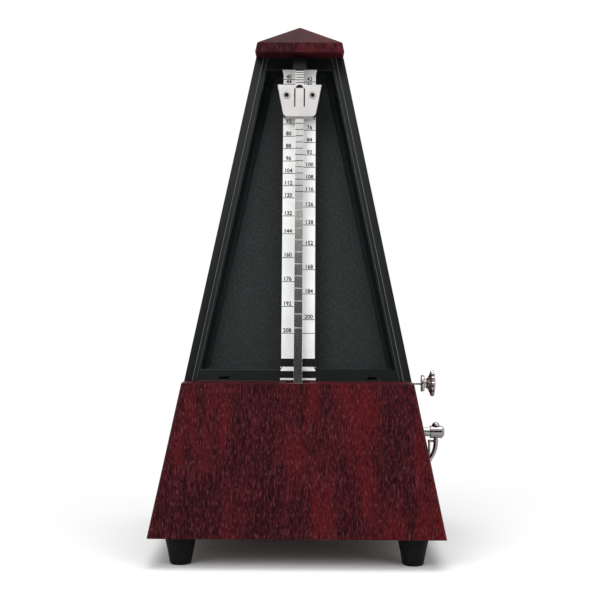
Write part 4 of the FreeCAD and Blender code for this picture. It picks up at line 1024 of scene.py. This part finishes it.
@dataclass
class TempoScale(SubAssembly):
    """The silver plate with its tempo marks, numbers and the dark bands at its foot."""

    marks: TempoMarks = TempoMarks()
    plate_edge: float = mm(0.08)
    ink: float = mm(0.03)
    line: float = mm(0.26)
    line_inset: float = mm(0.1)
    number_size: float = mm(2.4)
    number_size: float = mm(2.4)
    number_narrow: float = 0.94
    number_weight: float = mm(0.06)
    number_rise: float = mm(0.40)
    number_x: tuple[float, float] = (mm(-4.5), mm(4.25))
    head_flare: float = mm(0.45)
    bands: tuple[tuple[float, float], ...] = mm_points((5.46, 8.80), (0.86, 3.74))
    band_past: tuple[float, float] = (mm(0.1), mm(-0.02))
    bar_slant: float = mm(0.5)
    ink_margin: float = mm(0.03)
    foot_tall: float = mm(4.97)

    def build(self) -> None:
        """Make the plate, the tempo lines and numbers printed on it, and the dark bands at its foot."""
        plate = softened("scale_plate", "scale_face", self.plate_edge, long_edge(mm(0.5)), 2)
        self.keep(plate, Finish.PLATE, "silver_scale", "scale_plate")
        self.keep(self.lines(), Finish.INK, "silver_scale")
        self.keep(self.numbers(), Finish.INK, "silver_scale")
        self.keep(self.foot_bands(), Finish.INK, "silver_scale")

    def half_plate(self) -> float:
        """Half the width of the plate between its head and foot."""
        low, high = FRONT.local_box("scale_plate")
        return (high.x - low.x) / 2 - self.head_flare

    def lines(self) -> bpy.types.Object:
        """Make the tempo lines: each on its number's side of the rod, and the last right across.

        Returns:
            All the lines.
        """
        face = FRONT.local_box("scale_plate")[1].z
        reach = self.half_plate() - self.line_inset
        places = [(-1 if k % 2 == 0 else 1, self.marks.up(tempo))
                  for k, tempo in enumerate(self.marks.tempos())]
        places.append((1, places[-1][1]))
        middles = [(side * reach / 2, up, face + self.ink / 2) for side, up in places]
        return bars_on_front("tempo_lines", middles, (reach, self.line, self.ink), self.shop.get(Finish.INK))

    def numbers(self) -> bpy.types.Object:
        """Print each tempo above its line, on alternate sides of the rod.

        Returns:
            All the numbers.
        """
        face = FRONT.local_box("scale_plate")[1].z
        shape = bmesh.new()
        for k, tempo in enumerate(self.marks.tempos()):
            curve = bpy.data.curves.new("number", "FONT")
            curve.body = str(tempo)
            curve.size = self.number_size
            curve.align_x = "CENTER"
            curve.extrude = self.ink / 2
            curve.offset = self.number_weight
            curve.resolution_u = 3
            text = new_object("number", curve)
            mesh = shown_mesh(text)
            up = self.marks.up(tempo) + self.number_rise
            place = Vector((self.number_x[k % 2], up, face + self.ink / 2))
            narrow = Matrix.Diagonal((self.number_narrow, 1.0, 1.0, 1.0))
            mesh.transform(FRONT.matrix() @ Matrix.Translation(place) @ narrow)
            shape.from_mesh(mesh)
            bpy.data.objects.remove(text)
            bpy.data.curves.remove(curve)
            bpy.data.meshes.remove(mesh)
        bmesh.ops.remove_doubles(shape, verts=shape.verts, dist=mm(0.0005))
        return from_bmesh("tempo_numbers", shape)

    def foot_bands(self) -> bpy.types.Object:
        """Lay two dark bands on the foot of the plate, round a bare slanted bar.

        Returns:
            The bands and the corners beside the bar.
        """
        low, high = FRONT.local_box("scale_plate")
        narrow = self.half_plate()
        edge = (high.x - low.x) / 2 - self.ink_margin
        (upper_low, upper_high), (lower_low, lower_high) = (
            [low.y + up for up in band] for band in self.bands)
        foot_top = low.y + self.foot_tall
        below, above = (narrow + past for past in self.band_past)
        outlines = [
            [(-below, upper_low), (below, upper_low), (above, upper_high), (-above, upper_high)],
            [(-edge, lower_low), (edge, lower_low), (edge, lower_high), (-edge, lower_high)]]
        for side in (-1, 1):
            near, far = side * (narrow - self.ink_margin), side * edge
            outlines.append([(far, lower_high), (far, foot_top), (near, foot_top), (near, upper_low),
                             (near - side * self.bar_slant, upper_low)])
        return on_front("scale_foot_bands", prisms(outlines, high.z, high.z + self.ink))


@dataclass
class Pendulum(SubAssembly):
    """The swinging rod with its counterweight and pallets."""

    body: str = "pendulum"
    marks: TempoMarks = TempoMarks()
    rod_edge: float = mm(0.06)
    nick_rise: float = mm(1.6)
    nick_size: tuple[float, float] = (mm(3.2), mm(0.24))
    # painted shade goes only into the nicks above this height, since the lower nicks catch light
    shaded_nicks_above: float = mm(150.0)
    tip_margin: float = mm(0.5)
    ink: float = mm(0.02)

    def build(self) -> None:
        """Make and dress the pendulum's pieces."""
        rod = softened("pendulum_rod", "rod", self.rod_edge, long_edge(mm(0.2)), 2)
        self.keep(rod, Finish.ROD_STEEL, "steel", "pendulum_rod")
        # painted shade: dark bars in the rod's nicks
        self.keep(self.nick_shade_bars(), Finish.INK, "steel")
        self.dress(Finish.TURNED_STEEL, "pendulum_axle", "rod_collar", "pallet_front", "pallet_rear",
                   "bob_rivet")
        self.dress(Finish.DARK_IRON, "counterweight")

    def nick_shade_bars(self) -> bpy.types.Object:
        """Paint shade into the nicks across the upper part of the rod, as dark bars where the notches fall in
        shade.

        Returns:
            The bars of painted shade.
        """
        high = FRONT.local_box("pendulum_rod")[1]
        ups = [self.marks.up(tempo) + self.nick_rise for tempo in self.marks.tempos()]
        middles = [(0.0, up, high.z + self.ink / 2) for up in ups
                   if self.shaded_nicks_above < up < high.y - self.tip_margin]
        return bars_on_front("rod_nick_shade_bars", middles, (*self.nick_size, self.ink),
                             self.shop.get(Finish.INK))


@dataclass
class SlidingWeight(SubAssembly):
    """The satin weight that sets the tempo."""

    body: str = "sliding_weight"
    rounding: float = mm(0.35)
    slot_share: float = 0.2
    slot_x: float = mm(1.97)
    slot_half: float = mm(0.25)
    slot_drops: tuple[float, float] = (mm(1.6), mm(9.5))
    # depths of the painted shade sheets under the weight's face
    shade_sheet_depths: tuple[float, float] = (mm(0.9), mm(0.4))
    mouth_radius: float = mm(1.5)
    mouth_drop: float = mm(1.45)
    groove_x: float = mm(5.35)
    groove_drop: float = mm(4.6)
    groove_radii: tuple[float, float] = (mm(1.36), mm(1.52))
    # thickness of the painted shade ring in each eyelet's groove
    groove_shade_thickness: float = mm(0.03)
    side_taper: float = 0.19
    side_band: float = mm(0.4)
    end_band: float = mm(0.05)
    tongue_half: float = mm(2.6)
    shortest: float = mm(0.3)

    def rim(self, edge: bmesh.types.BMEdge) -> float:
        """Weigh an edge of the weight: full round its outline, little at the tongue's slots.

        Args:
            edge: the edge.

        Returns:
            The share of the full rounding.
        """
        low, high = FRONT.local_box("weight_body")
        ends = [FRONT.local(vert.co) for vert in edge.verts]
        if all(abs(p.x) < self.tongue_half for p in ends):
            return self.slot_share if edge.calc_length() > self.shortest else 0.0
        outside = all(
            p.y < low.y + self.end_band or p.y > high.y - self.end_band
            or abs(p.x) > high.x - self.side_taper * (high.y - p.y) - self.side_band for p in ends)
        return 1.0 if outside else 0.0

    def build(self) -> None:
        """Make and dress the weight's pieces."""
        weight = softened("weight_body", "satin_weight", self.rounding, self.rim)
        self.keep(weight, Finish.WEIGHT_STEEL, "steel", "weight_body")
        # painted shade: dark sheets in the tongue's slots and in the mouth
        self.keep(self.slot_shade_sheets(), Finish.INK, "steel")
        # painted shade: dark rings in the grooves round the eyelets
        self.keep(self.eyelet_groove_shade(), Finish.INK, "steel")
        self.dress(Finish.TURNED_STEEL, "weight_rivets")
        self.dress(Finish.SPRING_STEEL, "weight_spring")

    def slot_shade_sheets(self) -> bpy.types.Object:
        """Set a dark sheet of painted shade in each slot beside the weight's tongue, and in the mouth above
        it, where the hollow behind falls in shade.

        Returns:
            The sheets of painted shade.
        """
        high = FRONT.local_box("weight_body")[1]
        top, bottom = (high.y - drop for drop in self.slot_drops)
        strips = []
        for side in (-1, 1):
            x0, x1 = side * self.slot_x - self.slot_half, side * self.slot_x + self.slot_half
            strips.append([(x0, bottom), (x1, bottom), (x1, top), (x0, top)])
        strips.append(arc((0.0, high.y - self.mouth_drop), self.mouth_radius, 0.0, 180.0, 24))
        low_z, high_z = (high.z - depth for depth in self.shade_sheet_depths)
        return on_front("weight_slot_shade_sheets", prisms(strips, low_z, high_z))

    def eyelet_groove_shade(self) -> bpy.types.Object:
        """Paint shade into the groove round each eyelet of the weight, as a thin dark ring.

        Returns:
            Both rings of painted shade.
        """
        high = FRONT.local_box("weight_body")[1]
        (inner, outer), ink = self.groove_radii, self.groove_shade_thickness
        outline = [(0.0, inner), (ink, inner), (ink, outer), (0.0, outer), (0.0, inner)]
        shape = bmesh.new()
        for side in (-1, 1):
            spot = (side * self.groove_x, high.y - self.groove_drop, high.z)
            ring = lathe(outline, 48, FRONT.matrix() @ Matrix.Translation(spot))
            mesh = bpy.data.meshes.new("ring")
            ring.to_mesh(mesh)
            ring.free()
            shape.from_mesh(mesh)
            bpy.data.meshes.remove(mesh)
        return from_bmesh("eyelet_groove_shade", shape)


@dataclass
class WindingKey(SubAssembly):
    """The winding arbor, its ratchet and the round head of the key."""

    body: str = "winding"
    head_edge: float = mm(0.2)
    rim_band: float = mm(0.02)

    def build(self) -> None:
        """Make and dress the winding pieces."""
        head = softened("key_head", "key_boss", self.head_edge, self.rim)
        self.keep(head, Finish.NICKEL, "nickel", "key_head")
        self.dress(Finish.TURNED_STEEL, "winding_arbor", "ratchet_wheel")

    def rim(self, edge: bmesh.types.BMEdge) -> float:
        """Weigh an edge of the head: its two round rims."""
        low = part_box("key_head")[0]
        return 1.0 if all(abs(v.co.x - low.x) < self.rim_band for v in edge.verts) else 0.0


@dataclass
class KeyBow(SubAssembly):
    """The swivelling bow of the key and its domed rivet."""

    body: str = "bow"

    def build(self) -> None:
        """Dress the bow."""
        self.dress(Finish.NICKEL, "key_bow", "key_rivet")


@dataclass
class Selector(SubAssembly):
    """The pull rod that sets the bell, with its scalloped knob."""

    body: str = "selector"
    segments: int = 192
    bore: tuple[tuple[float, float], ...] = mm_points((0.0, 0.72))
    disc_radius: float = mm(3.62)
    disc_rounding: float = mm(0.25)
    disc_tall: float = mm(1.1)
    neck: tuple[tuple[float, float], ...] = mm_points(
        (1.15, 2.40), (1.45, 2.05), (2.10, 1.95), (2.70, 2.30), (3.10, 2.90), (3.40, 3.60), (3.60, 3.90),
        (3.80, 4.40))
    head_shoulders: tuple[tuple[float, float], ...] = mm_points((4.25, 4.40), (5.35, 4.40))
    head_rounding: float = mm(0.35)
    dome: tuple[tuple[float, float], ...] = mm_points(
        (5.85, 3.65), (5.95, 2.75), (6.08, 2.45), (6.10, 1.20), (6.10, 0.30))
    lobes: int = 12
    lobe_share: float = 0.19
    lobe_sharpness: float = 0.75
    lobe_middle: float = mm(4.85)
    lobe_reach: float = mm(1.15)
    lobe_rise: float = 1.8
    beads: int = 36
    bead_radius: float = mm(0.34)
    bead_inset: float = mm(0.45)

    def build(self) -> None:
        """Make and dress the selector's pieces."""
        self.keep(self.knob(), Finish.KNOB_NICKEL, "nickel", "selector_knob")
        self.keep(self.bead_ring(), Finish.KNOB_NICKEL, "nickel")
        self.dress(Finish.TURNED_STEEL, "selector_rod")
        self.dress(Finish.WHEEL_BRASS, "selector_collars")

    def axis(self) -> Matrix:
        """Place a shape turned about Z on the knob's axis, starting at its inner face.

        Returns:
            The place.
        """
        low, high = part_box("selector_knob")
        base = Vector((low.x, (low.y + high.y) / 2, (low.z + high.z) / 2))
        return Matrix.Translation(base) @ Matrix.Rotation(math.pi / 2, 4, "Y")

    def knob(self) -> bpy.types.Object:
        """Turn the knob: a thin disc, a waisted neck and a domed, scalloped head.

        Returns:
            The knob.
        """
        r, rim = self.disc_rounding, self.disc_radius - self.disc_rounding
        near, far = self.head_shoulders
        outline = [*self.bore, (0.0, rim), *arc((r, rim), r, 180.0, 90.0, 3)[1:]]
        outline += arc((self.disc_tall - r, rim), r, 90.0, 0.0, 3) + list(self.neck)
        outline += arc(near, self.head_rounding, 140.0, 90.0, 3)
        outline += arc(far, self.head_rounding, 90.0, 20.0, 3) + list(self.dome)
        piece = from_bmesh("scalloped_knob", lathe(outline, self.segments, self.axis(), self.scallop))
        smooth_between_edges(piece.data, 30.0)
        return piece

    def scallop(self, along: float, angle: float) -> float:
        """Swell the head's rim into round lobes.

        Args:
            along: the place along the knob.
            angle: the angle round it.

        Returns:
            The factor on the radius.
        """
        rise = max(0.0, 1.0 - abs(along - self.lobe_middle) / self.lobe_reach)
        lobe = abs(math.cos(self.lobes * angle / 2)) ** self.lobe_sharpness
        return 1.0 + self.lobe_share * lobe * min(1.0, self.lobe_rise * rise)

    def bead_ring(self) -> bpy.types.Object:
        """Stand a ring of beads on the knob's inner disc.

        Returns:
            The beads.
        """
        piece = from_bmesh("knob_beads", bmesh.new())
        ring = self.disc_radius - self.bead_inset
        beads_on_ring().run(piece, {"Count": self.beads, "Ring_Radius": ring, "Bead_Radius": self.bead_radius,
                                    "Material": self.shop.get(Finish.KNOB_NICKEL)})
        piece.data.transform(self.axis() @ Matrix.Translation((0, 0, self.disc_tall)))
        return piece


@dataclass
class Movement(SubAssembly):
    """The clockwork inside the base: plates, going train, ratchet and bell."""

    def build(self) -> None:
        """Dress the CAD nodes, which have the shapes of the real pieces."""
        self.dress(Finish.BRASS, "left_plate", "right_plate", "escape_cock", "axle_bracket_front",
                   "axle_bracket_rear", "key_bush", "selector_bush", "bell_post", "pillars")
        self.dress(Finish.TURNED_STEEL, "pillar_screws", "mounting_blocks", "mounting_screws",
                   "click_screws", "second_arbor", "escape_arbor", "click", "hammer_arm", "hammer_head")
        self.dress(Finish.WHEEL_BRASS, "great_wheel", "barrel_cover", "second_wheel", "bell_cams",
                   "escape_wheel")
        self.dress(Finish.SPRING_STEEL, "click_spring", "detent_spring", "mainspring")
        self.dress(Finish.BELL, "bell")


# ---------------------------------------------------------------- studio
@dataclass
class Studio:
    """A white table in soft light, and the camera."""

    camera_place: Point = (mm(2.5315), mm(-555.584), mm(113.284))
    camera_down: float = math.radians(1.0167)
    camera_left: float = math.radians(0.2015)
    camera_roll: float = math.radians(0.2984)
    lens_mm: float = 77.69
    sensor_mm: float = 36.0
    floor_radius: float = 3.0
    floor_z: float = mm(-0.02)
    floor_colour: str = "f4f4f4"
    fade: tuple[float, float] = (0.07, 0.22)
    sky: float = 0.42
    card_corners: tuple[Point, Point] = ((-1.6, -1.5, -0.30), (1.6, -1.5, 0.87))
    card_colour: str = "2c2c2c"
    lamps: tuple[tuple[str, Point, float, float], ...] = (
        ("key_lamp", (-0.75, -1.15, 1.05), 0.9, 11.0),
        ("fill_lamp", (1.10, -0.95, 0.75), 0.9, 6.0),
        ("top_lamp", (0.05, -0.20, 1.50), 1.1, 14.0))
    aim: Point = (0.0, 0.0, 0.10)

    def build(self) -> None:
        """Make the world, the floor, the lamps and the camera."""
        bpy.context.scene.view_settings.view_transform = "Standard"
        self.world()
        self.floor()
        self.card()
        for row in self.lamps:
            self.lamp(*row)
        self.camera()

    def seen(self, shader: Shader) -> Wire:
        """Return 1 for what the camera, a gloss or a clear surface sees, and 0 for plain light.

        Args:
            shader: the tree that asks.

        Returns:
            The 1 or 0.
        """
        path = shader.node("ShaderNodeLightPath")
        camera, glossy, clear = (Wire(shader, path.outputs[name]) for name in (
            "Is Camera Ray", "Is Glossy Ray", "Is Transmission Ray"))
        return (camera + glossy + clear).clamped()

    def world(self) -> None:
        """Make the world white to look at, and a soft even light otherwise."""
        world = bpy.data.worlds.new("studio_world")
        bpy.context.scene.world = world
        shader = Shader(world)
        strength = self.sky + self.seen(shader) * (1.0 - self.sky)
        light = shader.wire("ShaderNodeBackground", None, {"Color": (1, 1, 1, 1), "Strength": strength})
        shader.finish(light, "ShaderNodeOutputWorld")

    def floor(self) -> None:
        """Lay a pale floor that keeps the shadow near the object and is white further off."""
        shape = bmesh.new()
        bmesh.ops.create_circle(shape, cap_ends=True, radius=self.floor_radius, segments=128,
                                matrix=Matrix.Translation((0, 0, self.floor_z)))
        made = bpy.data.materials.new("studio_floor")
        shader = Shader(made)
        here = shader.wire("ShaderNodeTexCoord", output="Object")
        far = shader.wire("ShaderNodeVectorMath", {"operation": "LENGTH"}, {0: here}, "Value")
        away = shader.step(far, *self.fade)
        matt = shader.wire("ShaderNodeBsdfPrincipled", None, {
            "Base Color": srgb(self.floor_colour), "Roughness": 0.9, "Specular IOR Level": 0.0})
        white = shader.wire("ShaderNodeEmission", None, {"Color": (1, 1, 1, 1), "Strength": 1.0})
        mixed = {0: away * self.seen(shader), 1: matt, 2: white}
        shader.finish(shader.wire("ShaderNodeMixShader", None, mixed))
        self.set_out("studio_floor", shape, made)

    def card(self) -> None:
        """Hang a dark card behind the camera, which only polished surfaces see."""
        shape = bmesh.new()
        (left, y, foot), (right, _, top) = self.card_corners
        corners = [(left, y, foot), (right, y, foot), (right, y, top), (left, y, top)]
        shape.faces.new([shape.verts.new(corner) for corner in corners])
        made = bpy.data.materials.new("dark_card")
        shader = Shader(made)
        shader.finish(shader.wire("ShaderNodeEmission", None, {
            "Color": srgb(self.card_colour), "Strength": 1.0}))
        piece = self.set_out("dark_card", shape, made)
        piece.visible_camera = False
        piece.visible_diffuse = False
        piece.visible_shadow = False

    def set_out(self, name: str, shape: bmesh.types.BMesh, made: bpy.types.Material) -> bpy.types.Object:
        """Make a coated object that belongs to the studio.

        Args:
            name: the object's name.
            shape: its shape.
            made: its material.

        Returns:
            The object.
        """
        piece = from_bmesh(name, shape)
        piece.data.materials.append(made)
        return piece

    def lamp(self, name: str, place: Point, size: float, power: float) -> None:
        """Hang a soft square lamp that faces the middle of the object.

        Args:
            name: the lamp's name.
            place: its place.
            size: its side.
            power: its power in watts.
        """
        light = bpy.data.lights.new(name, "AREA")
        light.shape = "SQUARE"
        light.size = size
        light.energy = power
        made = new_object(name, light)
        aim = Vector(self.aim) - Vector(place)
        made.rotation_euler = aim.to_track_quat("-Z", "Y").to_euler()
        made.location = place

    def camera(self) -> None:
        """Stand the camera in front, almost level."""
        data = bpy.data.cameras.new("studio_camera")
        data.sensor_width = self.sensor_mm
        data.lens = self.lens_mm
        data.clip_start = 0.01
        made = new_object("studio_camera", data)
        level = Matrix.Rotation(math.pi / 2, 4, "X")
        turned = (Matrix.Rotation(self.camera_left, 4, "Z") @ level
                  @ Matrix.Rotation(-self.camera_down, 4, "X"))
        rolled = turned @ Matrix.Rotation(self.camera_roll, 4, "Z")
        made.matrix_world = Matrix.Translation(self.camera_place) @ rolled
        bpy.context.scene.camera = made


def main() -> None:
    """Build the metronome and its studio, and report each piece."""
    logging.basicConfig(level=logging.INFO, format="%(name)s: %(message)s")
    shop = FinishShop()
    Studio().build()
    for part in (Case, BlackFrame, TempoScale, Pendulum, SlidingWeight, WindingKey, KeyBow, Selector,
                 Movement):
        made = part(shop)
        made.build()
        for piece in made.pieces:
            LOG.info("%s: %s on %s, %d faces", part.__name__, piece.name, made.body,
                     len(piece.data.polygons))


if __name__ == "__main__":
    main()
